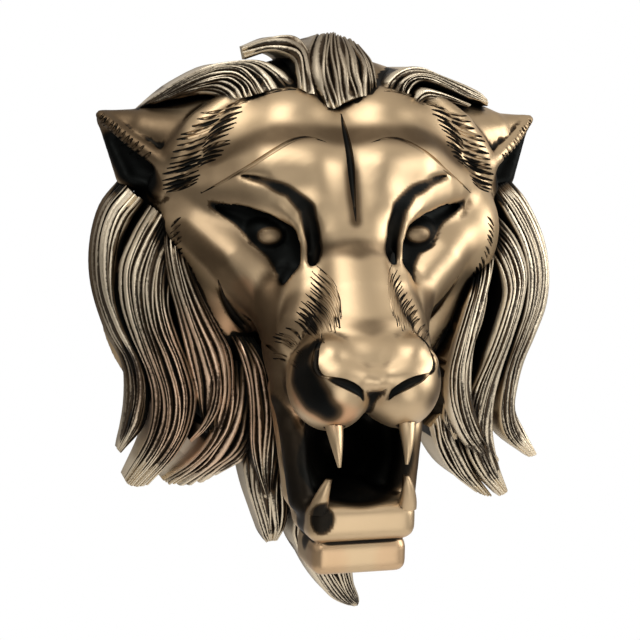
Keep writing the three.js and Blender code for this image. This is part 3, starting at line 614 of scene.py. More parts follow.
# The mane as it lies in the picture, not mirrored: each sheet of hair by its guide lines from root to tip,
# read off the picture as (column, row, how far out from the wall in millimetres)
MANE = {
    "left mane, outer": [
        [(120, 176, 10), (98, 205, 8), (89, 245, 8), (90, 285, 8), (104, 328, 10), (120, 362, 12),
         (125, 392, 14), (121, 425, 16), (117, 449, 22)],
        [(130, 190, 26), (112, 212, 28), (102, 245, 30), (105, 290, 30), (118, 330, 32), (134, 362, 32),
         (140, 393, 32), (133, 425, 32), (119, 451, 28)],
        [(145, 200, 30), (128, 225, 34), (117, 260, 36), (117, 298, 37), (127, 330, 37), (141, 362, 37),
         (148, 393, 37), (144, 425, 36), (121, 453, 30)],
    ],
    "left mane, broad": [
        [(150, 204, 30), (134, 228, 36), (121, 262, 40), (119, 298, 41), (129, 333, 41), (146, 370, 41),
         (152, 400, 41), (147, 433, 38), (124, 477, 30)],
        [(162, 215, 36), (146, 243, 42), (136, 278, 45), (138, 315, 45), (150, 352, 45), (164, 392, 45),
         (163, 425, 42), (150, 455, 38), (127, 484, 31)],
        [(170, 232, 38), (158, 262, 45), (153, 295, 48), (158, 328, 48), (171, 362, 48), (180, 398, 47),
         (177, 430, 44), (163, 458, 38), (136, 487, 31)],
        [(176, 252, 38), (172, 280, 44), (172, 310, 48), (180, 338, 50), (192, 368, 49), (198, 398, 47),
         (192, 430, 43), (176, 458, 38), (150, 486, 30)],
    ],
    "beside the left cheek": [
        [(166, 208, 30), (163, 240, 42), (167, 275, 47), (175, 310, 49), (184, 345, 50), (192, 380, 48),
         (200, 415, 43), (212, 448, 34)],
        [(176, 216, 34), (176, 250, 46), (184, 285, 51), (196, 318, 54), (209, 352, 55), (215, 388, 52),
         (213, 420, 45), (216, 450, 34)],
        [(183, 228, 36), (190, 262, 47), (202, 295, 50), (219, 326, 54), (233, 356, 56), (236, 392, 53),
         (228, 425, 45), (220, 452, 34)],
    ],
    "under the left cheek, against the snout": [
        [(218, 312, 32), (236, 344, 52), (246, 378, 55), (249, 410, 53), (250, 442, 48), (256, 470, 42),
         (266, 496, 36)],
        [(236, 322, 34), (256, 356, 56), (264, 390, 58), (266, 420, 56), (264, 450, 50), (265, 476, 42),
         (269, 498, 36)],
        [(252, 334, 38), (273, 368, 60), (280, 400, 62), (282, 430, 58), (279, 458, 52), (275, 482, 43),
         (272, 500, 36)],
    ],
    "beside the right cheek": [
        [(494, 226, 30), (496, 262, 46), (490, 296, 52), (481, 330, 54), (475, 364, 54), (475, 398, 50),
         (484, 430, 43), (500, 460, 34)],
        [(484, 240, 34), (483, 276, 50), (476, 308, 55), (467, 340, 58), (460, 372, 58), (462, 404, 53),
         (474, 436, 44), (496, 464, 34)],
        [(476, 256, 36), (470, 290, 51), (461, 320, 56), (453, 350, 59), (447, 380, 59), (450, 412, 54),
         (464, 444, 44), (491, 468, 34)],
    ],
    "under the left cheek, outer": [
        [(205, 322, 50), (208, 350, 53), (212, 380, 53), (210, 405, 50), (202, 425, 46), (189, 440, 41)],
        [(216, 338, 52), (220, 362, 55), (223, 388, 54), (219, 410, 51), (207, 430, 47), (191, 443, 41)],
    ],
    "under the left cheek, sweeping back": [
        [(222, 355, 50), (224, 390, 50), (217, 420, 47), (204, 445, 42), (186, 466, 36), (163, 481, 28)],
        [(236, 360, 50), (238, 400, 50), (231, 428, 46), (217, 450, 41), (200, 468, 35), (174, 485, 27)],
        [(250, 368, 48), (251, 405, 47), (245, 433, 43), (233, 455, 38), (218, 468, 33), (197, 484, 26)],
        [(264, 382, 44), (262, 415, 43), (256, 440, 39), (247, 460, 34), (238, 466, 28), (222, 474, 22)],
    ],
    "left of the jaw": [
        [(246, 440, 30), (243, 465, 28), (246, 490, 27), (254, 515, 25), (263, 536, 22), (267, 543, 20)],
        [(264, 425, 40), (258, 460, 38), (258, 490, 36), (262, 512, 33), (267, 530, 28), (270, 541, 22)],
        [(283, 425, 44), (276, 455, 42), (275, 485, 40), (277, 510, 36), (277, 528, 30), (274, 541, 23)],
        [(297, 440, 46), (292, 465, 44), (291, 490, 42), (290, 512, 38), (286, 530, 30), (279, 541, 23)],
    ],
    "close to the jaw": [
        [(291, 450, 44), (295, 480, 42), (295, 510, 38), (292, 533, 33), (298, 552, 29), (307, 566, 26)],
        [(304, 460, 46), (304, 490, 44), (305, 515, 41), (304, 540, 36), (307, 556, 31), (311, 568, 27)],
    ],
    "beard": [
        [(292, 530, 34), (302, 558, 30), (315, 580, 26), (331, 598, 22), (346, 605, 20), (353, 606, 19)],
        [(312, 540, 40), (320, 563, 36), (330, 582, 32), (342, 596, 26), (350, 603, 22), (355, 606, 20)],
        [(330, 545, 42), (336, 568, 38), (343, 585, 34), (350, 596, 28), (354, 602, 23), (357, 605, 20)],
        [(350, 550, 42), (353, 570, 38), (356, 586, 33), (359, 597, 27), (360, 603, 22), (358, 606, 20)],
    ],
    "over the left ear": [
        [(302, 86, 50), (286, 70, 46), (262, 60, 42), (235, 60, 38), (208, 65, 34), (182, 78, 28),
         (158, 94, 22), (135, 110, 16)],
        [(264, 92, 50), (255, 78, 47), (240, 68, 44), (220, 68, 41), (198, 75, 36), (178, 86, 30),
         (158, 98, 24), (140, 108, 19)],
        [(246, 97, 49), (240, 86, 47), (225, 80, 45), (207, 82, 42), (190, 88, 36), (172, 95, 30),
         (156, 101, 25), (146, 106, 20)],
        [(225, 100, 47), (215, 94, 45), (203, 93, 42), (190, 95, 38), (178, 98, 33), (166, 101, 28),
         (156, 104, 24), (150, 105, 21)],
    ],
    "tuft turned to the left": [
        [(320, 95, 54), (314, 70, 52), (310, 48, 45), (296, 35, 38), (272, 36, 34), (243, 45, 30)],
        [(310, 93, 56), (305, 72, 54), (302, 52, 48), (290, 43, 42), (270, 42, 38), (242, 51, 31)],
        [(299, 88, 55), (297, 72, 53), (294, 60, 48), (283, 53, 44), (268, 51, 40), (245, 60, 32)],
    ],
    "tuft in the middle": [
        [(318, 100, 55), (307, 77, 56), (306, 56, 50), (313, 38, 40), (317, 33, 30)],
        [(333, 108, 57), (325, 82, 58), (323, 56, 52), (325, 36, 40), (327, 32, 30)],
        [(345, 102, 57), (340, 80, 58), (336, 57, 52), (335, 38, 40), (335, 33, 30)],
        [(358, 97, 56), (355, 78, 57), (352, 58, 52), (346, 43, 41), (343, 36, 31)],
        [(369, 95, 54), (368, 77, 54), (365, 60, 49), (357, 48, 40), (351, 40, 31)],
        [(379, 93, 50), (378, 77, 50), (374, 64, 46), (367, 53, 38), (360, 45, 30)],
    ],
    "curl to the right": [
        [(380, 93, 50), (387, 78, 48), (402, 68, 45), (420, 66, 41), (442, 74, 37), (464, 84, 31),
         (480, 92, 26), (487, 98, 22)],
        [(397, 98, 50), (402, 82, 48), (414, 74, 46), (430, 75, 42), (448, 82, 37), (466, 91, 31),
         (480, 98, 26), (488, 102, 22)],
        [(411, 108, 50), (411, 92, 48), (421, 82, 46), (437, 84, 43), (452, 91, 38), (468, 98, 32),
         (480, 102, 27), (488, 106, 22)],
    ],
    "curl to the right, inner": [
        [(413, 112, 48), (414, 98, 50), (424, 88, 50), (440, 91, 46), (456, 98, 40), (472, 105, 32)],
        [(422, 116, 47), (424, 104, 48), (432, 99, 48), (444, 101, 44), (456, 105, 38), (468, 108, 31)],
    ],
    "right mane, outer": [
        [(512, 180, 20), (530, 200, 20), (545, 235, 22), (552, 270, 22), (549, 305, 22), (537, 335, 24),
         (527, 362, 24), (520, 388, 24), (518, 410, 24), (526, 430, 25), (537, 453, 26)],
        [(500, 185, 26), (518, 207, 28), (534, 240, 30), (541, 272, 31), (537, 305, 32), (527, 335, 33),
         (517, 362, 34), (511, 390, 34), (510, 415, 32), (518, 436, 30), (535, 456, 27)],
        [(492, 190, 30), (508, 215, 35), (523, 245, 38), (529, 275, 39), (526, 308, 40), (516, 340, 40),
         (506, 370, 40), (501, 398, 38), (501, 420, 35), (508, 440, 31), (529, 457, 27)],
    ],
    "right mane, broad": [
        [(497, 212, 34), (518, 238, 40), (530, 268, 43), (527, 300, 45), (517, 335, 45), (505, 370, 45),
         (497, 405, 43), (496, 435, 40), (501, 465, 35), (509, 490, 28)],
        [(493, 232, 36), (509, 256, 43), (517, 285, 47), (511, 315, 49), (499, 350, 49), (486, 385, 48),
         (478, 415, 45), (479, 445, 41), (488, 472, 35), (505, 494, 28)],
        [(488, 250, 38), (500, 272, 45), (504, 295, 49), (497, 325, 51), (484, 360, 51), (470, 393, 49),
         (464, 420, 46), (467, 448, 41), (479, 474, 35), (499, 496, 27)],
    ],
    "right of the cheek": [
        [(484, 268, 46), (490, 290, 52), (486, 318, 54), (474, 350, 54), (462, 383, 52), (455, 412, 48),
         (457, 440, 41)],
        [(472, 290, 48), (474, 312, 54), (467, 338, 55), (455, 368, 54), (446, 395, 51), (443, 418, 47),
         (452, 439, 40)],
    ],
    "under the right cheek": [
        [(456, 405, 44), (461, 435, 41), (474, 468, 34), (493, 497, 24)],
        [(440, 415, 44), (446, 442, 40), (460, 472, 33), (484, 496, 23)],
        [(430, 430, 40), (436, 450, 36), (450, 473, 30), (474, 491, 22)],
    ],
}
STRAND_WIDTH = 3.6
TRIANGLES = 195000  # most in the finished piece

# Lines between which the fur is combed, as they lie in the picture on the side nearer to the camera:
# (column, row)
COMBED_SEEN = [
    # hairline on the forehead
    dict(inner=[(300, 90), (272, 93), (246, 103), (237, 118), (230, 133), (227, 148), (212, 162)],
         outer=[(278, 91), (247, 101), (222, 110), (210, 132), (203, 146), (202, 157), (196, 170)],
         count=17, width=2.6, bow=0.06),
    # the crescent before the ear
    dict(inner=[(232, 106), (222, 118), (210, 133), (204, 150), (200, 162), (196, 175), (192, 185)],
         outer=[(205, 108), (190, 125), (178, 142), (172, 158), (167, 172), (164, 184), (164, 195)],
         count=15, width=2.8, bow=-0.05),
    # the rim of the ear
    dict(inner=[(103, 113), (115, 122), (130, 135), (147, 148), (163, 158)],
         outer=[(98, 118), (108, 130), (120, 142), (133, 155), (150, 165)],
         count=15, width=2.2, jump=14),
    # the lower edge of the cheek
    dict(inner=[(207, 318), (213, 335), (222, 348), (235, 358), (248, 365)],
         outer=[(206, 345), (216, 365), (224, 382), (237, 385), (250, 388)],
         count=8, width=3.4, bow=0.03),
    # the outer edge of the cheek
    dict(inner=[(180, 215), (180, 240), (187, 265), (192, 290), (200, 310)],
         outer=[(170, 225), (170, 248), (175, 275), (182, 300), (190, 322)],
         count=17, width=2.2, bow=0.06),
]
# The same on the drawing, for the strokes beside the nose: (across, up)
COMBED = [
    # beside the bridge of the nose
    dict(inner=[(22, 44), (27, 35), (32, 25), (37, 16), (40, 9)],
         outer=[(15, 23), (18, 15), (24, 9), (30, 5), (33, 3)],
         count=25, width=1.7, bow=-0.15, jump=12),
    # beside the whisker pads
    dict(inner=[(43, 11), (47, 4), (49, -5), (49, -13), (48, -21)],
         outer=[(34, 3), (38, -1), (41, -7), (43, -13), (43, -20)],
         count=20, width=1.8, bow=-0.12, jump=18),
]

# Lines carved into the skin of the face: (the line as across and up, how deep, sides)
CREASES = [
    # nostrils, and the groove round each wing of the nose
    ([(31, -12), (26, -14), (20, -16), (14, -19), (9.5, -22.5), (7.5, -27)], 3.0, BOTH),
    ([(27, 9), (31, 5), (34, 0), (35.5, -6), (33.5, -11), (29, -13)], 2.3, BOTH),
    # the fold over each brow
    ([(14, 115), (24, 117.5), (34, 116), (47, 109), (60, 100), (72, 92), (84, 84)], 1.5, BOTH),
    # the groove down the middle of the forehead
    ([(0, 131), (0, 120), (0, 105), (0, 90), (0, 70)], 2.4, (1,)),
    # the leaf-shaped groove in each cheek
    ([(75, 34), (70, 22), (62, 10), (53, 1), (46, -6)], 2.6, BOTH),
]

head_points, head_faces = head.skin()
mask = body_of("mask", settled(head_points, head_faces, 2), head_faces)
tree = face_tree(mask)
strokes = []
for number, lines in enumerate(COMBED):
    strokes += combed(tree, seed=number, **lines)
for line, deepest, sides in CREASES:
    strokes += creased(tree, line, deepest, sides)
for number, lines in enumerate(COMBED_SEEN):
    ends = {
        name: [place for place in (seen_on(tree, *spot) for spot in lines[name]) if place]
        for name in ("inner", "outer")
    }
    strokes += combed(tree, seed=20 + number, **{**lines, **ends})
hair_bodies = []
for number, sheet in enumerate(MANE.values()):
    guides = [[seen(*spot) for spot in line] for line in sheet]
    hair_bodies.append(hair_sheet(guides, strands_across(guides), seed=number))
for points, faces in hair_bodies:
    joined(mask, body_of("sheet of hair", points, faces), "UNION")
for group in apart(strokes):
    joined(mask, body_of("strokes", *gathered(group)), "DIFFERENCE")
for side in BOTH:
    upper = tooth((22, 114, -26), (22, 130, -48), (20, 131, -65), 7.5, 1.0, side)
    lower = tooth((27, 112, -96), (27, 119, -84), (23, 121, -74), 6, 2, side)
    joined(mask, body_of("upper tooth", *upper), "UNION")
    joined(mask, body_of("lower tooth", *lower), "UNION")
joined(mask, body_of("hollow", *hollow.skin()), "DIFFERENCE")

bpy.ops.mesh.primitive_cube_add(size=1, location=(0, 0.2, -0.15))
bpy.context.object.scale = (1, 0.4, 1)
bpy.ops.object.transform_apply(location=True, rotation=True, scale=True)
wall_block = bpy.context.object
wall_block.select_set(False)
joined(mask, wall_block, "DIFFERENCE")
for side in BOTH:
    bpy.ops.mesh.primitive_cylinder_add(
        vertices=32,
        radius=HANG_HOLE / 2000,
        depth=HANG_DEPTH * 2 / 1000,
        location=(side * HANG_SPACING / 2000, 0, 0),
        rotation=(math.pi / 2, 0, 0),
    )
    bpy.ops.object.transform_apply(location=True, rotation=True, scale=True)
    hanger = bpy.context.object
    hanger.select_set(False)
    joined(mask, hanger, "DIFFERENCE")

# Patina left in the low places, with painted shade and painted dark reflections, stronger on the left and
# across smooth planes: (form, how far it fades out, how much of it, sides)
PATINA_AND_PAINTED_SHADE = [
    # sockets, and the fold from the brow down beside the nose
    (tube([(76, 54, 78, 2), (60, 60, 72, 6), (48, 65, 64, 10), (38, 68, 56, 11), (35, 72, 44, 8),
           (38, 74, 36, 3)]), 3.5, 1.0, BOTH),
    (tube([(58, 67, 94, 0.5), (38, 81, 87, 1.8), (28, 83, 77, 3), (24, 81, 60, 3.2), (26, 80, 38, 2)]),
     4, 0.96, BOTH),
    # the mouth, and the skin at its corners, with painted shade making the left corner darker
    (ellipsoid((0, 84, -68), (36, 46, 27)), 6, 0.93, (1,)),
    (tube([(46, 85, -38, 6), (35, 96, -70, 9), (31, 97, -100, 6), (27, 91, -117, 3)]), 5, 0.85, (-1,)),
    (tube([(40, 84, -42, 5), (34, 92, -74, 7), (32, 92, -94, 4)]), 5, 0.55, (1,)),
    # nostrils, beside the wings of the nose, and a painted reflection of dark surroundings under the left
    # wing, fainter under the right
    (tube([(31, 132, -13, 1), (20, 134, -17, 2), (11, 134, -21.5, 2), (8, 132, -26, 0.5)]), 2, 1.0, BOTH),
    (tube([(31, 121, 4, 2), (36, 120, -3, 3), (37, 124, -12, 4)]), 4, 0.95, BOTH),
    (tube([(38, 118, -4, 4), (38, 124, -14, 7), (34, 130, -24, 6), (27, 132, -31, 3)]), 8, 0.95, (-1,)),
    (tube([(38, 118, -6, 3), (38, 124, -16, 4), (33, 130, -26, 3)]), 8, 0.32, (1,)),
    # painted shade and dark reflections in the hollows between cheek and snout and along the cheeks, stronger
    # on the left, and painted shade over the left ear
    (tube([(46, 76, 34, 4), (50, 76, 22, 6), (52, 78, 6, 8), (50, 86, -10, 8), (45, 91, -27, 8)]),
     9, 0.48, (-1,)),
    (tube([(48, 72, 22, 5), (50, 78, 6, 6), (48, 86, -10, 6)]), 8, 0.45, (1,)),
    (tube([(94, 50, 62, 4), (77, 63, 45, 5), (62, 65, 24, 5), (54, 74, 8, 5)]), 8, 0.46, (-1,)),
    (tube([(94, 50, 62, 2), (77, 63, 45, 3), (62, 65, 24, 3), (54, 74, 8, 5)]), 7, 0.25, (1,)),
    (ellipsoid((80, 44, 62), (34, 34, 50)), 14, 0.24, (-1,)),
    (tube([(96, 26, 110, 16), (128, 16, 124, 14)]), 10, 0.42, (-1,)),
    (ellipsoid((30, 92, 12), (16, 16, 16)), 8, 0.35, BOTH),
    # the leaf-shaped grooves
    (tube([(75, 55, 34, 1), (66, 52, 16, 2), (53, 45, 0, 2)]), 3, 0.8, BOTH),
    # painted reflections of dark bands across the forehead, the bridge and the top of the nose, and painted
    # shade down the middle of the forehead
    (tube([(74, 50, 104, 3), (43, 67, 118, 4), (0, 64, 117, 4)]), 9, 0.42, BOTH),
    (tube([(26, 80, 53, 3), (0, 92, 54, 4)]), 7, 0.42, BOTH),
    (tube([(36, 100, 11, 2), (0, 120, 12, 3)]), 6, 0.35, BOTH),
    (tube([(0, 60, 120, 1), (0, 75, 96, 2.5), (0, 88, 70, 1)]), 6, 0.55, (1,)),
    # the tufts over the forehead
    (ellipsoid((2, 36, 164), (30, 34, 26)), 8, 0.30, (1,)),
    # painted shade of a recess at the left of the lip, which the lip's shape does not cut
    (ellipsoid((-26, 122, -98), (7, 10, 9)), 2.5, 0.9, (1,)),
    # the cups of the ears
    (tube([(106, 26, 90, 9), (118, 22, 98, 9), (130, 16, 112, 5)]), 6, 1.0, BOTH),
]
# Painted reddish reflection: where the metal is tinted redder, mostly low on the left
PAINTED_REDDISH_REFLECTION = [
    (ellipsoid((-76, 44, -34), (34, 40, 44)), 22, 0.75, (1,)),
    (tube([(-62, 68, 30, 3), (-54, 74, 12, 4)]), 7, 0.9, (1,)),
    (tube([(-40, 122, -26, 4), (-28, 136, -34, 6), (-16, 136, -38, 5)]), 7, 0.9, (1,)),
    (tube([(-44, 90, -42, 6), (-36, 96, -58, 4)]), 8, 0.8, (1,)),
    (ellipsoid((24, 110, -126), (12, 10, 12)), 8, 0.3, BOTH),
]
# Places that hands have rubbed bright again
RUBBED = [
    (ellipsoid((46, 69, 60), (6, 4, 3.5)), 3, 0.7, BOTH),
]


def painted(forms, places):
    """How much of a finish each place carries, from 0 to 1."""
    most = np.zeros(len(places))
    for (_, _, distance), fade, strength, sides in forms:
        for side in sides:
            share = np.clip(1 - distance(side * places[:, 0], places[:, 1], places[:, 2]) / fade, 0, 1)
            most = np.maximum(most, strength * share * share * (3 - 2 * share))
    return most


def mended(thing):
    """Splits a piece into triangles and drops those that fold up or lie on each other: it stays closed."""
    mesh = thing.data
    mesh.calc_loop_triangles()
    corners = np.empty(len(mesh.loop_triangles) * 3, int)
    mesh.loop_triangles.foreach_get("vertices", corners)
    corners = corners.reshape(-1, 3)
    points = np.empty(len(mesh.vertices) * 3)
    mesh.vertices.foreach_get("co", points)
    corners = corners[(corners != np.roll(corners, 1, axis=1)).all(axis=1)]
    _, same, times = np.unique(np.sort(corners, axis=1), axis=0, return_inverse=True, return_counts=True)
    corners = corners[times[same.reshape(-1)] == 1]
    used, corners = np.unique(corners, return_inverse=True)
    whole = bpy.data.meshes.new(thing.name)
    whole.from_pydata(points.reshape(-1, 3)[used].tolist(), [], corners.reshape(-1, 3).tolist())
    whole.update()
    thing.data = whole
    bpy.data.meshes.remove(mesh)


hair_points, hair_faces = gathered(hair_bodies)
hair_tree = BVHTree.FromPolygons(placed(hair_points).tolist(), hair_faces)
HAIR_REACH = 0.0006


def on_hair(mesh):
    """For each point of a mesh, 1 where it lies on a sheet of hair and 0 elsewhere."""
    return np.array([float(hair_tree.find_nearest(v.co, HAIR_REACH)[0] is not None) for v in mesh.vertices])


# The cuts leave slivers, so the piece is mended, its strands are thinned where they bend least, and it is
# mended again. The face keeps all its points, because they carry the patina and the painted shade.
mended(mask)
strands = mask.vertex_groups.new(name="strands")
strands.add(np.flatnonzero(on_hair(mask.data)).tolist(), 1, "REPLACE")
thin = mask.modifiers.new("thin", "DECIMATE")
thin.vertex_group = strands.name
thin.ratio = min(1, TRIANGLES / len(mask.data.polygons))
bpy.context.view_layer.objects.active = mask
mask.select_set(True)
bpy.ops.object.modifier_apply(modifier=thin.name)
mask.select_set(False)
mask.vertex_groups.clear()
mended(mask)
mesh = mask.data


# Where the patina and the painted shade lie and where handling has worn it: how closed in each point is, and
# how sharp


def mesh_arrays(mesh):
    points = np.empty(len(mesh.vertices) * 3)
    mesh.vertices.foreach_get("co", points)
    normals = np.empty(len(mesh.vertices) * 3)
    mesh.vertices.foreach_get("normal", normals)
    edges = np.empty(len(mesh.edges) * 2, int)
    mesh.edges.foreach_get("vertices", edges)
    return points.reshape(-1, 3), normals.reshape(-1, 3), edges.reshape(-1, 2)


def spread(values, edges, rounds):
    for _ in range(rounds):
        sums = values.copy()
        counts = np.ones(len(values))
        for a, b in ((0, 1), (1, 0)):
            np.add.at(sums, edges[:, a], values[edges[:, b]])
            np.add.at(counts, edges[:, a], 1)
        values = sums / (counts[:, None] if values.ndim > 1 else counts)
    return values


def closed_in(mesh, points, normals, reach, rays):
    tree = BVHTree.FromPolygons(points.tolist(), [tuple(p.vertices) for p in mesh.polygons])
    rng = np.random.default_rng(7)
    z = np.sqrt(rng.uniform(0.02, 1, rays))
    turn = rng.uniform(0, 2 * np.pi, rays)
    flat = np.sqrt(1 - z * z)
    spray = np.column_stack((flat * np.cos(turn), flat * np.sin(turn), z))
    helper = np.where(np.abs(normals[:, :1]) > 0.8, (0.0, 1.0, 0.0), (1.0, 0.0, 0.0))
    side_a = np.cross(normals, helper)
    side_a /= np.linalg.norm(side_a, axis=1)[:, None] + 1e-12
    side_b = np.cross(normals, side_a)
    starts = points + normals * 0.0004
    hits = np.zeros(len(points))
    for ray in spray:
        ways = side_a * ray[0] + side_b * ray[1] + normals * ray[2]
        for n, (start, way) in enumerate(zip(starts.tolist(), ways.tolist())):
            distance = tree.ray_cast(start, way, reach)[3]
            if distance is not None:
                hits[n] += 1 - distance / reach
    return hits / rays


points, normals, edges = mesh_arrays(mesh)
recess = spread(closed_in(mesh, points, normals, 0.03, 12), edges, 2)
bend = np.einsum("ij,ij->i", points - spread(points, edges, 4), normals) * 1000
bend = spread(bend, edges, 1)
hair = spread(on_hair(mesh), edges, 2)
places = points * (1000, -1000, 1000) + (0, 0, ORIGIN_UP)
patina_and_shade = painted(PATINA_AND_PAINTED_SHADE, places) * (1 - painted(RUBBED, places))
patina_and_shade = np.maximum(patina_and_shade, 0.7 * hair * np.clip((26 - places[:, 1]) / 24, 0, 1))
patina_and_shade *= np.clip(1.3 - 1.3 * normals[:, 1], 0, 1)  # less inside the casting, which faces the wall
finish = {"recess": recess, "bend": bend, "hair": hair, "patina_and_shade": patina_and_shade, "reddish_reflection": painted(PAINTED_REDDISH_REFLECTION, places)}
for name, values in finish.items():
    layer = mesh.attributes.new(name, "FLOAT", "POINT")
    layer.data.foreach_set("value", values.astype(np.float32))

bpy.context.view_layer.objects.active = mask
mask.select_set(True)
bpy.ops.object.shade_smooth_by_angle(angle=math.radians(38))
mask.select_set(False)


# Finishes


def noise(tree, scale, detail=3.0, roughness=0.5, stretch=None, place=None):
    coordinates = tree.nodes.new("ShaderNodeTexCoord")
    texture = tree.nodes.new("ShaderNodeTexNoise")
    texture.inputs["Scale"].default_value = scale
    texture.inputs["Detail"].default_value = detail
    texture.inputs["Roughness"].default_value = roughness
    if stretch:
        mapping = tree.nodes.new("ShaderNodeMapping")
        mapping.inputs["Scale"].default_value = stretch
        tree.links.new(coordinates.outputs["Object"], mapping.inputs["Vector"])
        tree.links.new(mapping.outputs["Vector"], texture.inputs["Vector"])
    else:
        tree.links.new(coordinates.outputs["Object"], texture.inputs["Vector"])
    return texture.outputs["Fac"]


def ranged(tree, value, low, high, to_low=0.0, to_high=1.0):
    step = tree.nodes.new("ShaderNodeMapRange")
    step.interpolation_type = "SMOOTHSTEP"
    step.inputs["From Min"].default_value = low
    step.inputs["From Max"].default_value = high
    step.inputs["To Min"].default_value = to_low
    step.inputs["To Max"].default_value = to_high
    tree.links.new(value, step.inputs["Value"])
    return step.outputs["Result"]


def maths(tree, operation, a, b=None, clamp=False):
    step = tree.nodes.new("ShaderNodeMath")
    step.operation = operation
    step.use_clamp = clamp
    for socket, value in zip(step.inputs, (a, b)):
        if value is None:
            continue
        if isinstance(value, (int, float)):
            socket.default_value = value
        else:
            tree.links.new(value, socket)
    return step.outputs[0]


def mixed(tree, share, a, b):
    step = tree.nodes.new("ShaderNodeMix")
    step.data_type = "RGBA"
    tree.links.new(share, step.inputs["Factor"])
    for socket, value in ((step.inputs[6], a), (step.inputs[7], b)):
        if isinstance(value, tuple):
            socket.default_value = (*value, 1)
        else:
            tree.links.new(value, socket)
    return step.outputs[2]


def attribute(tree, name):
    node = tree.nodes.new("ShaderNodeAttribute")
    node.attribute_name = name
    return node.outputs["Fac"]


brass = bpy.data.materials.new("aged brass")
brass.use_nodes = True
tree = brass.node_tree
shader = tree.nodes["Principled BSDF"]
recess_at = attribute(tree, "recess")
bend_at = attribute(tree, "bend")
hair_at = attribute(tree, "hair")
patina_and_shade_at = attribute(tree, "patina_and_shade")
cloud = noise(tree, 28, 4, 0.55)
grain = noise(tree, 700, 3, 0.65)
brushing = noise(tree, 420, 2, 0.6, stretch=(3, 3, 0.12))
speckle = noise(tree, 520, 2, 0.7)
# Patina and painted shade: how closed in each place is and how concave, with the painted forms, make a film
# that turns the metal brown and then near black
shut = maths(tree, "ADD", recess_at, maths(tree, "MULTIPLY", maths(tree, "SUBTRACT", cloud, 0.5), 0.15))
closed = ranged(tree, shut, 0.22, 0.62)
groove = ranged(tree, bend_at, -0.05, -0.42)
patina_and_shade_film = maths(tree, "MAXIMUM", closed, maths(tree, "MULTIPLY", groove, 0.9))
patina_and_shade_film = maths(tree, "MAXIMUM", patina_and_shade_film, patina_and_shade_at)
clouded = maths(tree, "MULTIPLY", maths(tree, "SUBTRACT", cloud, 0.45), 0.30)
patina_and_shade_film = maths(tree, "ADD", patina_and_shade_film, clouded, clamp=True)
# Strands: the crests worn bright, the grooves between them near black, partly patina and partly painted shade
uneven = maths(tree, "SUBTRACT", maths(tree, "ADD", speckle, maths(tree, "MULTIPLY", cloud, 0.6)), 0.8)
ridge = ranged(tree, maths(tree, "ADD", bend_at, maths(tree, "MULTIPLY", uneven, 0.8)), 0.02, 0.50)
face_tone = mixed(tree, cloud, (0.43, 0.31, 0.18), (0.53, 0.395, 0.245))
hair_tone = mixed(tree, ridge, (0.060, 0.048, 0.036), (0.64, 0.55, 0.41))
worn_and_shaded = mixed(tree, hair_at, face_tone, hair_tone)
# painted reddish reflection: the tone turns redder where the forms say
reddish_reflection_tint = tree.nodes.new("ShaderNodeMix")
reddish_reflection_tint.data_type = "RGBA"
reddish_reflection_tint.blend_type = "MULTIPLY"
reddish_reflection_tint.inputs[7].default_value = (1, 0.78, 0.70, 1)
tree.links.new(attribute(tree, "reddish_reflection"), reddish_reflection_tint.inputs["Factor"])
tree.links.new(worn_and_shaded, reddish_reflection_tint.inputs[6])
worn_and_shaded = reddish_reflection_tint.outputs[2]
# the film browns the metal and then blackens it: patina together with painted shade
brown = mixed(tree, ranged(tree, patina_and_shade_film, 0.0, 0.55), worn_and_shaded, (0.085, 0.055, 0.030))
tone = mixed(tree, ranged(tree, patina_and_shade_film, 0.45, 1.0), brown, (0.007, 0.0075, 0.007))
tree.links.new(tone, shader.inputs["Base Color"])
shader.inputs["Metallic"].default_value = 1.0
rough = maths(tree, "ADD", 0.42, maths(tree, "MULTIPLY", patina_and_shade_film, 0.14))
rough = maths(tree, "ADD", rough, maths(tree, "MULTIPLY", hair_at, 0.06))
tree.links.new(rough, shader.inputs["Roughness"])
bump = tree.nodes.new("ShaderNodeBump")
bump.inputs["Strength"].default_value = 0.3
bump.inputs["Distance"].default_value = 0.0006
height = maths(tree, "MULTIPLY", grain, hair_at)
bare = maths(tree, "SUBTRACT", 1.0, hair_at)
brushed = maths(tree, "MULTIPLY", maths(tree, "MULTIPLY", brushing, 0.10), bare)
tree.links.new(maths(tree, "ADD", height, brushed), bump.inputs["Height"])
tree.links.new(bump.outputs["Normal"], shader.inputs["Normal"])
mesh.materials.clear()
mesh.materials.append(brass)

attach(mask, "root")
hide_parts("lion_mask")


# Studio
bpy.ops.mesh.primitive_plane_add(size=0.9, location=(0, 0, -0.55))
floor = bpy.context.object
floor.name = "floor"
floor.select_set(False)
pale = bpy.data.materials.new("pale floor")
pale.use_nodes = True
pale.node_tree.nodes["Principled BSDF"].inputs["Base Color"].default_value = (0.9, 0.9, 0.9, 1)
pale.node_tree.nodes["Principled BSDF"].inputs["Roughness"].default_value = 0.9
floor.data.materials.append(pale)

world = bpy.data.worlds.new("studio")
bpy.context.scene.world = world
world.use_nodes = True
sky = world.node_tree
around = sky.nodes.new("ShaderNodeTexCoord")
axes = sky.nodes.new("ShaderNodeSeparateXYZ")
sky.links.new(around.outputs["Generated"], axes.inputs["Vector"])
front = sky.nodes.new("ShaderNodeMapRange")
front.interpolation_type = "SMOOTHSTEP"
front.inputs["From Min"].default_value = -0.95
front.inputs["From Max"].default_value = -0.35
front.inputs["To Min"].default_value = 0.16
front.inputs["To Max"].default_value = 0.85
sky.links.new(axes.outputs["Y"], front.inputs["Value"])
bands = sky.nodes.new("ShaderNodeValToRGB")
bands.color_ramp.interpolation = "EASE"
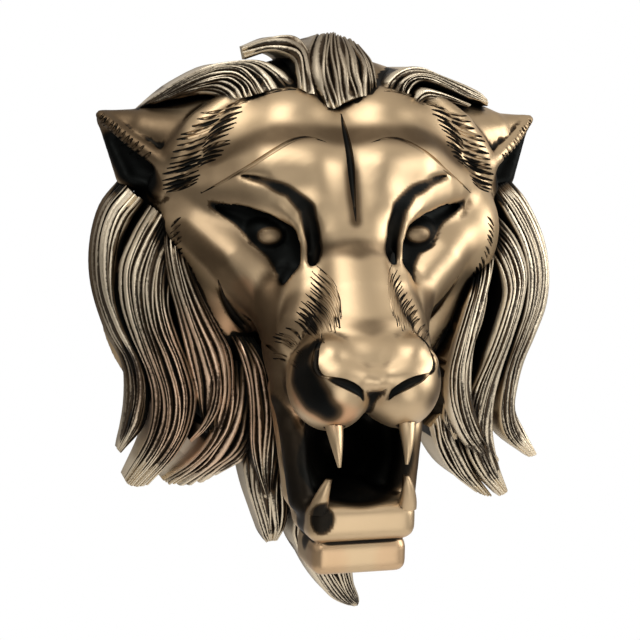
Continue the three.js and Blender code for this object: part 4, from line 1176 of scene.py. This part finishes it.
# Bright and dark bands from below to above: (share of the height, how bright)
BANDS = ((0.0, 0.35), (0.30, 0.55), (0.42, 0.16), (0.50, 0.22), (0.60, 0.95), (0.72, 1.0), (0.80, 0.40),
         (0.88, 0.85), (1.0, 0.7))
for place, bright in BANDS:
    stop = bands.color_ramp.elements[0] if place == 0 else bands.color_ramp.elements.new(place)
    stop.position = place
    stop.color = (bright, bright, bright, 1)
bands.color_ramp.elements.remove(bands.color_ramp.elements[-1])
height = sky.nodes.new("ShaderNodeMapRange")
height.inputs["From Min"].default_value = -1
sky.links.new(axes.outputs["Z"], height.inputs["Value"])
sky.links.new(height.outputs["Result"], bands.inputs["Fac"])
both = sky.nodes.new("ShaderNodeMath")
both.operation = "MULTIPLY"
sky.links.new(front.outputs["Result"], both.inputs[0])
sky.links.new(bands.outputs["Color"], both.inputs[1])
dim = sky.nodes["Background"]
sky.links.new(both.outputs[0], dim.inputs["Strength"])
dim.inputs["Color"].default_value = (1, 0.97, 0.94, 1)
pale_wall = sky.nodes.new("ShaderNodeBackground")
pale_wall.inputs["Color"].default_value = (1, 1, 1, 1)
light_path = sky.nodes.new("ShaderNodeLightPath")
choice = sky.nodes.new("ShaderNodeMixShader")
sky.links.new(light_path.outputs["Is Camera Ray"], choice.inputs[0])
sky.links.new(dim.outputs[0], choice.inputs[1])
sky.links.new(pale_wall.outputs[0], choice.inputs[2])
sky.links.new(choice.outputs[0], sky.nodes["World Output"].inputs["Surface"])


def softbox(name, place, size, power, aim=drawing_middle):
    light = bpy.data.lights.new(name, "AREA")
    light.size = size
    light.energy = power
    lamp = bpy.data.objects.new(name, light)
    lamp.location = place
    lamp.rotation_euler = (aim - Vector(place)).to_track_quat("-Z", "Y").to_euler()
    bpy.context.scene.collection.objects.link(lamp)


softbox("key light", (-0.4, -0.9, 0.75), 0.8, 10.5)
softbox("side light", (1.05, -0.65, 0.1), 0.8, 12)
softbox("low light", (0.1, -1.0, -0.45), 0.6, 3)

bpy.context.scene.view_settings.view_transform = "Standard"
